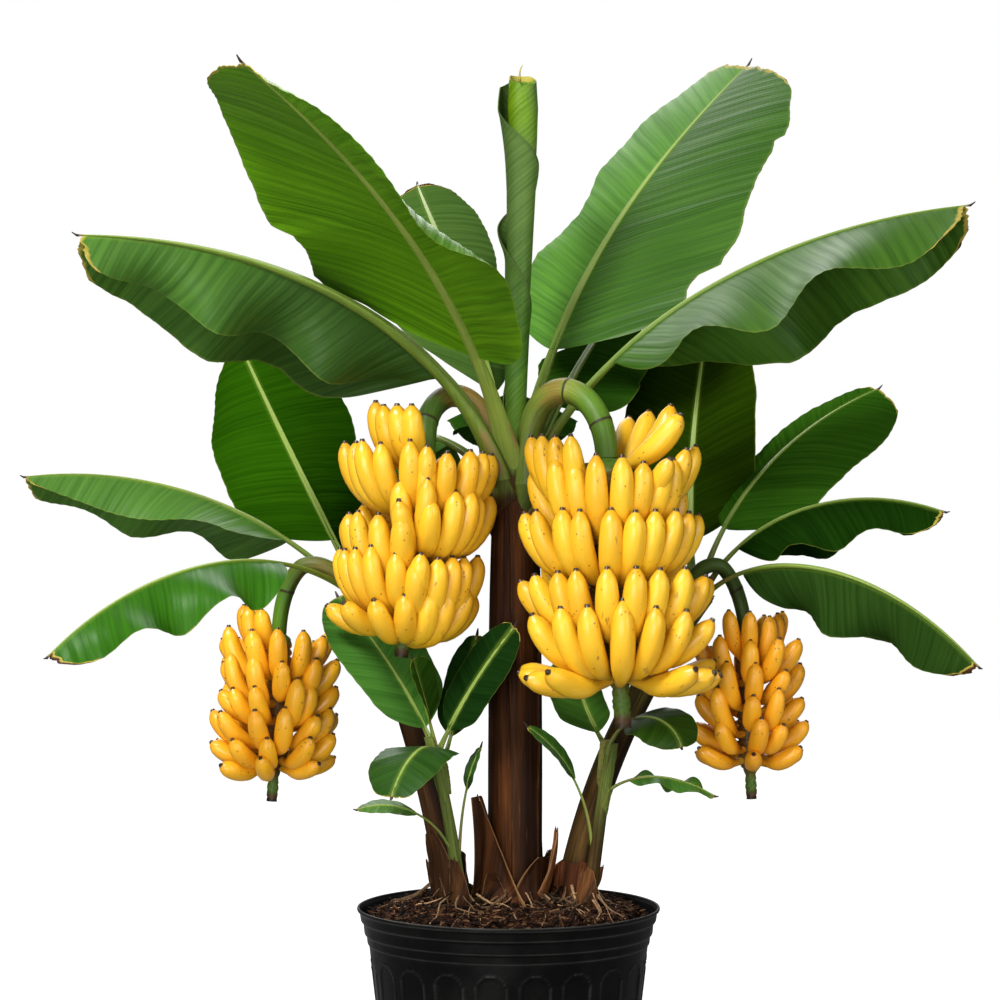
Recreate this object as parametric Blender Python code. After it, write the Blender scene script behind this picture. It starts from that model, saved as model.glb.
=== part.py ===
"""Dwarf banana tree in a round nursery pot: three fruiting stems and two suckers from one root.

Metres, +Z up. The origin is the centre of the pot's flat underside, -Y is the front and +X the right of the
front view. A heading is in degrees from +X towards +Y, a rise is in degrees above the level. A limb, a leaf,
a fruit stalk and a finger of fruit all follow one rule: the heading and the rise change along the length.
"""
import math

import bmesh
import bpy
import numpy as np

for old in list(bpy.data.objects):
    bpy.data.objects.remove(old, do_unlink=True)

GAP = 0.0003
TRIM_ROOM = GAP * 1.6
LEAF_TRIM_ROOM = GAP * 5

# Leaves: thickness as a share of the length, how far the root sits in the stem, depth of the rib against
# the stalk, and from which blade length and width a blade gets more sections
LEAF_THICKNESS = 0.0101
LEAF_INSET = 0.009
RIB_DEPTH = 0.55
LONG_BLADE = 0.25
WIDE_BLADE = 0.24

# Base colours
POT_COLOUR = (0.020, 0.020, 0.019)
SOIL_COLOUR = (0.038, 0.019, 0.012)
BROWN_STEM = (0.045, 0.022, 0.009)
GREEN_STEM = (0.10, 0.17, 0.03)
STALK_COLOUR = (0.19, 0.20, 0.045)
NEW_LEAF_COLOUR = (0.17, 0.29, 0.06)
FRUIT_COLOUR = (0.72, 0.40, 0.035)

# Fingers of fruit: thickness at shares of the length, for the large bunches and the small ones
FINGER_TAPER = {5: [(0, .42), (.34, .90), (.84, .98), (1, .44)], 4: [(0, .45), (.5, 1.1), (1, .55)]}
FINGER_ROOT_SHARE = 0.86

# Pot and soil
POT_HEIGHT = 0.400
POT_SEGMENTS = 32
POT_OUTSIDE = [
    (0.1720, 0.000),
    (0.1745, 0.003),
    (0.2125, 0.343),
    (0.2155, 0.345),
    (0.2165, 0.358),
    (0.2200, 0.360),
    (0.2215, 0.377),
    (0.2255, 0.380),
    (0.2270, 0.392),
    (0.2310, 0.395),
    (0.2310, POT_HEIGHT),
]
POT_INSIDE = [(0.2265, POT_HEIGHT), (0.2240, 0.388), (0.2085, 0.340), (0.1690, 0.006)]
SOIL_ROOM = 0.0005
SOIL_EDGE = 0.376
SOIL_TOP = 0.410
SOIL_SHOULDER = 0.185
SOIL_FLAT = 0.140

# Stems: foot x and y, length, heading, rise at foot and top, radii at shares of the length
STEMS = {
    "main": dict(foot=(0.010, 0.000), length=0.680, head=0, rise=(90, 90), sides=14,
                 radii=[(0, .0480), (.04, .0440), (.15, .0410), (.5, .0405), (.8, .0370), (.95, .0340),
                        (1, .0300)]),
    "left": dict(foot=(-0.086, 0.020), length=0.475, head=172, rise=(82, 66), sides=10,
                 radii=[(0, .0250), (.12, .0225), (.4, .0215), (.8, .0195), (1, .0160)]),
    "right": dict(foot=(0.092, 0.015), length=0.515, head=15, rise=(80, 50), sides=10,
                  radii=[(0, .0260), (.12, .0230), (.4, .0215), (.8, .0195), (1, .0160)]),
    "left_sucker": dict(foot=(-0.070, -0.062), length=0.250, head=180, rise=(84, 76), sides=8,
                        radii=[(0, .0130), (.15, .0105), (.5, .0090), (1, .0070)]),
    "right_sucker": dict(foot=(0.118, -0.055), length=0.245, head=0, rise=(82, 82), sides=8,
                         radii=[(0, .0140), (.15, .0112), (.5, .0098), (1, .0075)]),
}

# Dry sheath ends at the feet of the stems: x, y, length, heading, rise at foot and tip, half width and depth
SHEATHS = {
    "main": [
        (-0.030, -0.016, 0.160, 175, 83, 88, 0.0170, 0.0060),
        (0.040, -0.022, 0.135, -12, 72, 78, 0.0130, 0.0055),
        (-0.040, 0.004, 0.085, 180, 80, 80, 0.0110, 0.0055),
    ],
    "right": [
        (0.090, -0.004, 0.066, -60, 84, 70, 0.0200, 0.0120),
    ],
}

# Rolled new leaf that stands on the main stem
SPEAR_LENGTH = 0.571
SPEAR_RADII = [(0, .0120), (.12, .0175), (.4, .0205), (.7, .0235), (.92, .0305), (1, .0270)]

# Fruit stalks: stem, share of its height, two limbs with heading, rise, bow and length, radii at the root,
# the top and the end
STALKS = {
    "right": dict(stem="main", share=.93, inset=-.002, heads=(-57, -32, -59), rises=(90, 4, -87),
                  bows=(2.35, .70),
                  lengths=(.170, .146), radii=(.0195, .0190, .0170)),
    "left": dict(stem="main", share=.93, inset=-.002, heads=(171, 208, 284), rises=(90, -5, -88),
                 bows=(2.6, .67),
                 lengths=(.167, .132), radii=(.0180, .0175, .0160)),
    "far_left": dict(stem="left", share=.90, inset=.004, heads=(206, 167, 154), rises=(62, -26, -88),
                     bows=(3.0, .42),
                     lengths=(.159, .113), radii=(.0115, .0125, .0115)),
    "far_right": dict(stem="right", share=.90, inset=.004, heads=(-73, 19, 0), rises=(84, -30, -88),
                      bows=(2.6, .42),
                      lengths=(.122, .121), radii=(.0110, .0115, .0105)),
}

# Bunches: the stem of the bunch hangs on from its stalk. Rows of fingers: distance down the stem, heading of the
# middle, spread, count, length, radius, rise at the root, rise of the tip in the middle and at the sides
BUNCHES = {
    "right": dict(length=.4, head=0, rise=(-87, -86), seed=11, sides=5, hub=.053, bow=.75,
                  radii=[(0, .0165), (.04, .0400), (.1, .0570), (.76, .0560), (.88, .0260),
                         (.92, .0135), (1, .0125)],
                  rows=[
        (.007, 40, 84, 4, .122, .0184, 6, 88, 84),
        (.064, -8, 44, 3, .122, .0180, 2, 70, 66),
        (.058, -148, 56, 3, .124, .0180, 12, 90, 86),
        (.088, -84, 96, 6, .122, .0186, -2, 94, 90),
        (.094, 140, 50, 2, .11, .0178, 0, 88, 84),
        (.152, -88, 192, 10, .124, .0190, -12, 93, 76),
        (.166, 92, 110, 3, .108, .0178, -4, 88, 82),
        (.242, -90, 190, 9, .122, .0190, -6, 94, 78),
        (.290, -88, 192, 10, .122, .0190, -14, 92, 74),
        (.268, 92, 110, 3, .108, .0178, -10, 86, 80),
        (.297, -154, 72, 4, .128, .0178, -14, 24, 30),
        (.299, -27, 76, 5, .13, .0178, -14, 30, 38),
    ]),
    "left": dict(length=.296, head=180, rise=(-84, -82), seed=23, sides=5, hub=.04, bow=.75,
                 radii=[(0, .0155), (.05, .0300), (.12, .0440), (.8, .0420), (.89, .0180),
                        (.93, .0115), (1, .0105)],
                 rows=[
        (.005, -146, 80, 4, .118, .0182, 16, 91, 86),
        (.051, -140, 112, 6, .12, .0176, -8, 92, 80),
        (.067, -46, 76, 4, .116, .0182, -2, 92, 84),
        (.060, 108, 60, 2, .1, .0168, -2, 90, 86),
        (.105, -92, 18, 2, .118, .0172, -10, 93, 93),
        (.121, -42, 104, 6, .116, .0176, -14, 92, 78),
        (.158, -142, 80, 4, .116, .0182, -2, 92, 84),
        (.186, 98, 70, 2, .1, .0168, -8, 90, 84),
        (.202, -138, 108, 6, .114, .0176, -12, 90, 76),
        (.219, -44, 76, 4, .112, .0182, -4, 92, 82),
        (.255, -54, 110, 5, .108, .0178, -18, 88, 70),
        (.241, -158, 24, 2, .098, .0168, -22, 48, 48),
    ]),
    "far_left": dict(length=.258, head=180, rise=(-89, -86), seed=37, sides=4, hub=.034, bow=.8,
                     radii=[(0, .0110), (.05, .0240), (.11, .0370), (.8, .0350), (.89, .0140),
                            (.93, .0090), (1, .0080)],
                     rows=[
        (.016, -170, 100, 4, .078, .0138, 26, 86, 80),
        (.049, -84, 204, 7, .08, .0146, 4, 90, 72),
        (.082, -92, 236, 8, .08, .0146, -8, 88, 62),
        (.120, -86, 224, 8, .08, .0146, -8, 86, 60),
        (.157, -92, 236, 8, .08, .0146, -12, 82, 54),
        (.186, -90, 228, 7, .078, .0144, -18, 68, 44),
        (.204, -90, 226, 5, .074, .0138, -20, 38, 26),
        (.138, 95, 60, 2, .076, .0136, -8, 80, 80),
    ]),
    "far_right": dict(length=.246, head=0, rise=(-88, -88), seed=41, sides=4, hub=.03, bow=.8,
                      radii=[(0, .0105), (.05, .0220), (.11, .0330), (.8, .0320), (.89, .0140),
                             (.93, .0090), (1, .0080)],
                      rows=[
        (.019, -36, 160, 6, .074, .0132, 28, 88, 78),
        (.047, -92, 216, 7, .075, .0140, 2, 88, 66),
        (.081, -86, 230, 7, .075, .0140, -8, 86, 58),
        (.122, -92, 224, 7, .075, .0140, -8, 82, 56),
        (.156, -88, 230, 7, .074, .0140, -16, 74, 48),
        (.182, -92, 224, 5, .07, .0134, -18, 44, 32),
        (.138, 95, 60, 2, .074, .0132, -8, 80, 80),
    ]),
}

# Leaves: share is the place on the stem, length is petiole and blade, then pairs for the left and right half
LEAVES = {
    "upper_left": dict(
        stem="main", share=0.975, head=(251, 223), rise=(59, 28), bow=0.55,
        length=(0.205, 0.64), half=(0.198, 0.22), stalk=0.0135, roll=(-14, 4),
        fold=(-6, 1), curl=(-21, -14), shape=(0.22, 0.6, 0.42),
        wave=(-0.022, 0.023), waves=(2.1, 1.4), phase=(355, 40),
        colour=(0.056, 0.168, 0.006),
    ),
    "left_arching": dict(
        stem="main", share=0.945, head=(214, 197), rise=(79, -1), bow=0.55,
        length=(0.186, 0.608), half=(0.11, 0.191), stalk=0.014, roll=(-32, 16),
        fold=(-62, -54), curl=(-42, -24), shape=(0.25, 0.45, 0.3),
        wave=(-0.03, 0.03), waves=(2.8, 2.1), phase=(360, 190),
        colour=(0.023, 0.074, 0.012),
    ),
    "upper_right": dict(
        stem="main", share=0.972, head=(67, 19), rise=(67, 44), bow=0.55,
        length=(0.209, 0.64), half=(0.117, 0.22), stalk=0.011, roll=(3, 6),
        fold=(10, -2), curl=(-10, -7), shape=(0.2, 0.72, 0.62),
        wave=(0, 0), waves=(2, 2), phase=(0, 0),
        colour=(0.037, 0.141, 0.009),
    ),
    "right_arching": dict(
        stem="main", share=0.945, head=(-8, -27), rise=(72, 3), bow=0.66,
        length=(0.218, 0.599), half=(0.146, 0.197), stalk=0.011, roll=(-7, 10),
        fold=(-61, -32), curl=(-42, -1), shape=(0.25, 0.45, 0.3),
        wave=(0.03, 0.03), waves=(2.4, 2.4), phase=(70, 230),
        colour=(0.065, 0.175, 0.025),
    ),
    "back_left_tall": dict(
        stem="main", share=0.97, head=(118, 96), rise=(81, 18), bow=0.55,
        length=(0.129, 0.667), half=(0.129, 0.109), stalk=0.01, roll=(12, -45),
        fold=(3, -22), curl=(-14, -26), shape=(0.25, 0.6, 0.35),
        wave=(0, 0), waves=(2, 2), phase=(360, 0),
        colour=(0.084, 0.188, 0.026),
    ),
    "left_stem_tall": dict(
        stem="left", share=0.965, head=(129, 113), rise=(47, 36), bow=1.61,
        length=(0.144, 0.505), half=(0.12, 0.184), stalk=0.008, roll=(5, -45),
        fold=(-19, -30), curl=(-21, -24), shape=(0.22, 0.6, 0.4),
        wave=(0, 0), waves=(2, 2), phase=(0, 0),
        colour=(0.03, 0.117, 0.002),
    ),
    "left_stem_arching": dict(
        stem="left", share=0.95, head=(172, 192), rise=(49, -7), bow=1.04,
        length=(0.17, 0.425), half=(0.067, 0.14), stalk=0.008, roll=(-8, 12),
        fold=(-36, -29), curl=(5, -15), shape=(0.22, 0.4, 0.25),
        wave=(0.03, 0.018), waves=(0.8, 2.3), phase=(70, 150),
        colour=(0.076, 0.202, 0.025),
        beside=("left_stem_tall",),
    ),
    "left_stem_drooping": dict(
        stem="left", share=0.965, head=(235, 205), rise=(34, -45), bow=1.01,
        length=(0.212, 0.418), half=(0.096, 0.054), stalk=0.007, roll=(2, -9),
        fold=(-24, -59), curl=(-19, -21), shape=(0.22, 0.45, 0.3),
        wave=(0.027, 0.021), waves=(2.9, 2), phase=(45, 250),
        colour=(0.018, 0.08, 0.003),
    ),
    "right_stem_tall": dict(
        stem="right", share=0.965, head=(98, 56), rise=(68, 69), bow=1.01,
        length=(0.104, 0.392), half=(0.124, 0.102), stalk=0.008, roll=(-2, -8),
        fold=(3, 6), curl=(-10, -9), shape=(0.25, 0.6, 0.3),
        wave=(0, 0), waves=(2, 2), phase=(0, 0),
        colour=(0.044, 0.084, 0.006),
    ),
    "right_stem_upper": dict(
        stem="right", share=0.955, head=(25, 15), rise=(82, 22), bow=0.74,
        length=(0.129, 0.354), half=(0.063, 0.135), stalk=0.007, roll=(1, -1),
        fold=(14, -17), curl=(-11, -19), shape=(0.22, 0.7, 0.45),
        wave=(0, 0), waves=(2, 2), phase=(360, 0),
        colour=(0.022, 0.08, 0.004),
        beside=("right_stem_tall",),
    ),
    "right_stem_arching": dict(
        stem="right", share=0.965, head=(-16, -18), rise=(72, -20), bow=0.79,
        length=(0.106, 0.343), half=(0.093, 0.091), stalk=0.007, roll=(-5, 14),
        fold=(-39, -40), curl=(-8, -4), shape=(0.2, 0.4, 0.3),
        wave=(0.03, 0.018), waves=(2, 2.4), phase=(10, 200),
        colour=(0.012, 0.054, 0.003),
        beside=("right_stem_upper", "far_right_hanging"),
    ),
    "right_stem_drooping": dict(
        stem="right", share=0.95, head=(-42, -22), rise=(62, -48), bow=0.55,
        length=(0.106, 0.428), half=(0.096, 0.082), stalk=0.007, roll=(17, -5),
        fold=(-59, -60), curl=(-23, -41), shape=(0.22, 0.55, 0.3),
        wave=(0.024, 0.028), waves=(1.6, 2.2), phase=(15, 110),
        colour=(0.025, 0.07, 0.008),
    ),
    "sucker_large": dict(
        stem="left_sucker", share=0.86, head=(178, 144), rise=(70, 42), bow=0.95,
        length=(0.058, 0.247), half=(0.082, 0.07), stalk=0.0055, roll=(-50, -3),
        fold=(30, -3), curl=(1, -14), shape=(0.25, 0.55, 0.3),
        wave=(0, 0), waves=(2, 2), phase=(0, 0),
        colour=(0.033, 0.107, 0.012),
        beside=("left_stem_drooping",),
    ),
    "sucker_upright": dict(
        stem="left_sucker", share=0.96, head=(230, 203), rise=(73, 72), bow=0.98,
        length=(0.04, 0.102), half=(0.044, 0.049), stalk=0.004, roll=(-20, -6),
        fold=(-4, 36), curl=(-15, 5), shape=(0.3, 0.6, 0.3),
        wave=(0, 0), waves=(2, 2), phase=(0, 0),
        colour=(0.04, 0.122, 0.009),
        beside=("sucker_large",),
    ),
    "sucker_right": dict(
        stem="left_sucker", share=0.9, head=(-14, -21), rise=(67, 50), bow=0.88,
        length=(0.046, 0.19), half=(0.035, 0.044), stalk=0.0045, roll=(60, 8),
        fold=(15, 5), curl=(-5, -10), shape=(0.25, 0.6, 0.35),
        wave=(0, 0), waves=(2, 2), phase=(0, 0),
        colour=(0.008, 0.034, 0.004),
    ),
    "sucker_front": dict(
        stem="left_sucker", share=0.9, head=(256, 233), rise=(40, -67), bow=0.88,
        length=(0.015, 0.172), half=(0.054, 0.064), stalk=0.004, roll=(-4, -4),
        fold=(5, -3), curl=(-15, -11), shape=(0.25, 0.6, 0.4),
        wave=(0, 0), waves=(2, 2), phase=(0, 0),
        colour=(0.053, 0.153, 0.025),
    ),
    "sucker_low_left": dict(
        stem="left_sucker", share=0.17, head=(195, 185), rise=(84, -20), bow=1.07,
        length=(0.118, 0.095), half=(0.024, 0.035), stalk=0.0035, roll=(-8, -1),
        fold=(-11, 5), curl=(-16, -7), shape=(0.3, 0.5, 0.15),
        wave=(0, 0), waves=(2, 2), phase=(0, 0),
        colour=(0.061, 0.156, 0.021),
    ),
    "sucker_low_right": dict(
        stem="left_sucker", share=0.22, head=(12, 10), rise=(88, 64), bow=1.8,
        length=(0.119, 0.067), half=(0.036, 0.022), stalk=0.0035, roll=(2, -4),
        fold=(7, 3), curl=(-4, -6), shape=(0.3, 0.5, 0.2),
        wave=(0, 0), waves=(2, 2), phase=(0, 0),
        colour=(0.021, 0.072, 0.007),
    ),
    "right_sucker_upright": dict(
        stem="right_sucker", share=0.95, head=(126, 119), rise=(39, 72), bow=1.12,
        length=(0.038, 0.135), half=(0.057, 0.033), stalk=0.0045, roll=(-4, -2),
        fold=(10, 18), curl=(-8, -4), shape=(0.25, 0.6, 0.35),
        wave=(0, 0), waves=(2, 2), phase=(0, 0),
        colour=(0.032, 0.098, 0.009),
    ),
    "right_sucker_side": dict(
        stem="right_sucker", share=0.93, head=(-24, -34), rise=(78, -76), bow=1.13,
        length=(0.053, 0.121), half=(0.056, 0.055), stalk=0.0045, roll=(7, 6),
        fold=(5, -10), curl=(-7, -15), shape=(0.25, 0.6, 0.45),
        wave=(0, 0), waves=(2, 2), phase=(0, 0),
        colour=(0.019, 0.054, 0.003),
    ),
    "right_sucker_low_right": dict(
        stem="right_sucker", share=0.66, head=(-15, -8), rise=(64, -32), bow=0.55,
        length=(0.049, 0.138), half=(0.016, 0.025), stalk=0.004, roll=(5, 0),
        fold=(-16, -17), curl=(-6, -12), shape=(0.3, 0.5, 0.15),
        wave=(0.018, -0.006), waves=(1.8, 2), phase=(340, 35),
        colour=(0.04, 0.122, 0.013),
    ),
    "right_sucker_low_left": dict(
        stem="right_sucker", share=0.3, head=(188, 195), rise=(88, 33), bow=1.17,
        length=(0.12, 0.11), half=(0.041, 0.026), stalk=0.0038, roll=(-10, -5),
        fold=(-5, 16), curl=(-10, 0), shape=(0.3, 0.45, 0.1),
        wave=(0, 0), waves=(2, 2), phase=(0, 0),
        colour=(0.025, 0.089, 0.007),
    ),
    "back_left_drooping": dict(
        stem="main", share=0.905, head=(142, 114), rise=(56, -44), bow=0.9,
        length=(0.14, 0.28), half=(0.105, 0.11), stalk=0.0105, roll=(-8, 4),
        fold=(-30, -34), curl=(-22, -22), shape=(0.24, 0.5, 0.3),
        wave=(0.012, 0.014), waves=(2.2, 2.4), phase=(20, 110),
        colour=(0.089, 0.216, 0.034),
        beside=("left_stem_tall",),
    ),
    "back_right_high": dict(
        stem="main", share=0.935, head=(56, 74), rise=(56, 20), bow=0.9,
        length=(0.16, 0.34), half=(0.1, 0.1), stalk=0.01, roll=(6, 0),
        fold=(-24, -20), curl=(-18, -18), shape=(0.24, 0.5, 0.3),
        wave=(0.01, 0.012), waves=(2.1, 2.5), phase=(60, 200),
        colour=(0.01, 0.042, 0.004),
    ),
    "back_right_drooping": dict(
        stem="main", share=0.915, head=(20, 34), rise=(46, -56), bow=0.9,
        length=(0.09, 0.18), half=(0.055, 0.06), stalk=0.009, roll=(0, 0),
        fold=(-24, -30), curl=(-20, -20), shape=(0.24, 0.5, 0.3),
        wave=(0.01, 0.012), waves=(2.2, 2), phase=(80, 10),
        colour=(0.021, 0.089, 0.006),
    ),
    "back_middle": dict(
        stem="main", share=0.93, head=(92, 86), rise=(50, -38), bow=1,
        length=(0.16, 0.5), half=(0.115, 0.115), stalk=0.011, roll=(0, 0),
        fold=(-20, -20), curl=(-18, -18), shape=(0.24, 0.5, 0.3),
        wave=(0.014, 0.012), waves=(2.1, 2.4), phase=(40, 160),
        colour=(0.037, 0.133, 0.01),
    ),
    "left_stem_back": dict(
        stem="left", share=0.91, head=(84, 70), rise=(50, -30), bow=1,
        length=(0.1, 0.38), half=(0.085, 0.085), stalk=0.008, roll=(0, 0),
        fold=(-20, -24), curl=(-18, -18), shape=(0.24, 0.5, 0.3),
        wave=(0.01, 0.01), waves=(2, 2.3), phase=(30, 120),
        colour=(0.027, 0.107, 0.006),
    ),
    "right_stem_back": dict(
        stem="right", share=0.91, head=(128, 112), rise=(50, -30), bow=1,
        length=(0.1, 0.38), half=(0.085, 0.085), stalk=0.008, roll=(0, 0),
        fold=(-20, -24), curl=(-18, -18), shape=(0.24, 0.5, 0.3),
        wave=(0.01, 0.01), waves=(2.2, 2), phase=(70, 160),
        colour=(0.025, 0.098, 0.006),
    ),
    "sucker_back": dict(
        stem="left_sucker", share=0.8, head=(50, 66), rise=(66, 60), bow=1,
        length=(0.06, 0.17), half=(0.036, 0.036), stalk=0.0042, roll=(0, 0),
        fold=(6, 6), curl=(-8, -8), shape=(0.26, 0.55, 0.3),
        wave=(0, 0), waves=(2, 2), phase=(0, 0),
        colour=(0.009, 0.037, 0.004),
    ),
}


def course(root, length, head, rise, bow=1.0, steps=72):
    """Places along a limb whose heading and rise change from the first to the second value."""
    share = (np.arange(steps) + 0.5) / steps
    heading = np.radians(head[0] + (head[1] - head[0]) * share)
    lift = np.radians(rise[0] + (rise[1] - rise[0]) * share**bow)
    way = np.stack([np.cos(heading) * np.cos(lift), np.sin(heading) * np.cos(lift), np.sin(lift)], -1)
    return np.vstack([np.zeros(3), np.cumsum(way, 0) * (length / steps)]) + np.asarray(root, float)


def frames(root, length, head, rise, bow, shares):
    """Place, direction, left side and upper side of a limb at each share of its length."""
    shares = np.asarray(shares, float)
    line = course(root, length, head, rise, bow)
    spot = shares * (len(line) - 1)
    low = np.minimum(spot.astype(int), len(line) - 2)
    part = (spot - low)[:, None]
    place = line[low] * (1 - part) + line[low + 1] * part
    heading = np.radians(head[0] + (head[1] - head[0]) * shares)
    lift = np.radians(rise[0] + (rise[1] - rise[0]) * shares**bow)
    ahead = np.stack([np.cos(heading) * np.cos(lift), np.sin(heading) * np.cos(lift), np.sin(lift)], -1)
    side = np.stack([-np.sin(heading), np.cos(heading), np.zeros_like(heading)], -1)
    return place, ahead, side, np.cross(ahead, side)


def body(name, points, faces):
    """One closed object whose faces look outward."""
    mesh = bpy.data.meshes.new(name)
    bm = bmesh.new()
    verts = [bm.verts.new(p) for p in points]
    for face in faces:
        bm.faces.new([verts[i] for i in face])
    bmesh.ops.recalc_face_normals(bm, faces=bm.faces)
    bm.to_mesh(mesh)
    bm.free()
    ob = bpy.data.objects.new(name, mesh)
    bpy.context.scene.collection.objects.link(ob)
    return ob


def skin(name, rings):
    """Body through rings of equal point counts, closed flat at both ends."""
    count = len(rings[0])
    points = [tuple(p) for ring in rings for p in ring]
    faces = [tuple(range(count))[::-1], tuple(range(len(points) - count, len(points)))]
    for r in range(len(rings) - 1):
        for i in range(count):
            j = (i + 1) % count
            faces.append((r * count + i, r * count + j, (r + 1) * count + j, (r + 1) * count + i))
    return body(name, points, faces)


def tube(name, root, length, head, rise, bow, radii, sides, flat=1.0, foot=None):
    """Tapering limb, with radii given at shares of its length."""
    shares = [s for s, r in radii]
    place, ahead, side, up = frames(root, length, head, rise, bow, shares)
    turn = 2 * np.pi * (np.arange(sides) + 0.5) / sides
    rings = []
    for k, (share, radius) in enumerate(radii):
        ring = place[k] + radius * (np.cos(turn)[:, None] * side[k] + flat * np.sin(turn)[:, None] * up[k])
        if foot is not None and k == 0:
            ring = ring + ahead[k] * ((foot - ring[:, 2]) / ahead[k][2])[:, None]
        rings.append(ring)
    return skin(name, rings)


def spread(radii, count):
    """The same taper with evenly spaced shares."""
    shares = np.linspace(0, 1, count)
    return [(s, float(np.interp(s, [a for a, b in radii], [b for a, b in radii]))) for s in shares]


def stem_place(stem, share):
    """Centre and radius of a stem at a share of its height."""
    size = STEMS[stem]
    foot = (*size["foot"], SOIL_TOP + GAP)
    head = (size["head"], size["head"])
    place = frames(foot, size["length"], head, size["rise"], 1.0, [share])[0][0]
    return place, float(np.interp(share, [a for a, b in size["radii"]], [b for a, b in size["radii"]]))


def on_stem(stem, share, heading, inset):
    """Root of a leaf or stalk, a little inside the stem's surface."""
    place, radius = stem_place(stem, share)
    angle = math.radians(heading)
    return place + (radius - inset) * np.array([math.cos(angle), math.sin(angle), 0.0])


def paint(ob, colour, rough):
    """The object's own plain material, and smooth shading except at sharp edges."""
    material = bpy.data.materials.new(ob.name)
    material.use_nodes = True
    shader = material.node_tree.nodes["Principled BSDF"]
    shader.inputs["Base Color"].default_value = (*colour, 1.0)
    shader.inputs["Roughness"].default_value = rough
    ob.data.materials.clear()
    ob.data.materials.append(material)
    ob.data.shade_smooth()
    ob.data.set_sharp_from_angle(angle=math.radians(40))


def settle(ob):
    """Keeps the result of the object's modifiers as its mesh, without loose scraps or sealed hollows."""
    graph = bpy.context.evaluated_depsgraph_get()
    mesh = bpy.data.meshes.new_from_object(ob.evaluated_get(graph))
    ob.modifiers.clear()
    ob.data = mesh
    bm = bmesh.new()
    bm.from_mesh(mesh)
    left = set(bm.verts)
    shells = []
    while left:
        shell = {left.pop()}
        edge = list(shell)
        while edge:
            near = {e.other_vert(v) for v in edge for e in v.link_edges} - shell
            shell |= near
            edge = list(near)
        left -= shell
        shells.append(shell)
    shells.sort(key=len)
    bmesh.ops.delete(bm, geom=[v for shell in shells[:-1] for v in shell], context="VERTS")
    bm.to_mesh(mesh)
    bm.free()


def fuse(ob, pieces):
    """Joins the pieces to the object by one union on a collection."""
    heap = bpy.data.collections.new(ob.name + " pieces")
    bpy.context.scene.collection.children.link(heap)
    for piece in pieces:
        bpy.context.scene.collection.objects.unlink(piece)
        heap.objects.link(piece)
    union = ob.modifiers.new("union", "BOOLEAN")
    union.operation = "UNION"
    union.operand_type = "COLLECTION"
    union.collection = heap
    union.solver = "MANIFOLD"
    settle(ob)
    for piece in pieces:
        bpy.data.objects.remove(piece, do_unlink=True)
    bpy.data.collections.remove(heap)


def clear_of(ob, cutter):
    """Takes from the object what lies inside the cutter."""
    cut = ob.modifiers.new("clear of " + cutter.name, "BOOLEAN")
    cut.operation = "DIFFERENCE"
    cut.object = cutter
    cut.solver = "MANIFOLD"
    settle(ob)


def turned(name, profile, segments):
    """Body turned round the upright axis from a profile that starts and ends on it."""
    inner = profile[1:-1]
    points = [(0, 0, profile[0][1]), (0, 0, profile[-1][1])]
    for k in range(segments):
        angle = 2 * math.pi * k / segments
        points += [(r * math.cos(angle), r * math.sin(angle), z) for r, z in inner]
    faces = []
    count = len(inner)
    for k in range(segments):
        a = 2 + k * count
        b = 2 + ((k + 1) % segments) * count
        faces.append((0, b, a))
        faces.append((1, a + count - 1, b + count - 1))
        faces += [(a + i, b + i, b + i + 1, a + i + 1) for i in range(count - 1)]
    return body(name, points, faces)


def margin(t, base, tip, blunt):
    """Share of the half width at each share of the blade: round at the base, blunt at the tip."""
    opening = math.sin(math.pi / 2 * min(1.0, t / base)) ** 0.75
    closing = max(0.0, (t - tip) / (1 - tip))
    return opening * (1 - (1 - blunt) * closing**2.2)


def half_blade(size, which, share, v):
    """Offsets across and above the rib at one place of a blade's left or right half."""
    half = size["half"][which] * share["width"] * v
    start = math.radians(size["fold"][which])
    bend = math.radians(size["curl"][which])
    angle = start + bend * v
    if abs(bend) < 1e-5:
        across, above = half * math.cos(start), half * math.sin(start)
    else:
        full = size["half"][which] * share["width"]
        across = full * (math.sin(angle) - math.sin(start)) / bend
        above = full * (math.cos(start) - math.cos(angle)) / bend
    swell = size["wave"][which] * v**1.5 * share["fade"]
    swell *= math.sin(2 * math.pi * size["waves"][which] * share["t"] + math.radians(size["phase"][which]))
    return across - math.sin(angle) * swell, above + math.cos(angle) * swell, angle


def leaf_edge(size, which, share, v, stalk_half, thick):
    """Upper and lower point of a leaf's section at one place of its left or right half."""
    if share["width"] * size["half"][which] < stalk_half:
        x, z, tilt = stalk_half * v, 0.0, 0.0
        deep = max(stalk_half * (0.42 if v < 1 else 0.2), thick * 0.5)
    else:
        x, z, tilt = half_blade(size, which, share, v)
        deep = thick * (0.5 if v < 1 else 0.36)
    nx, nz = -math.sin(tilt) * deep, math.cos(tilt) * deep
    return (x + nx, z + nz), (x - nx, z - nz)


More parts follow.
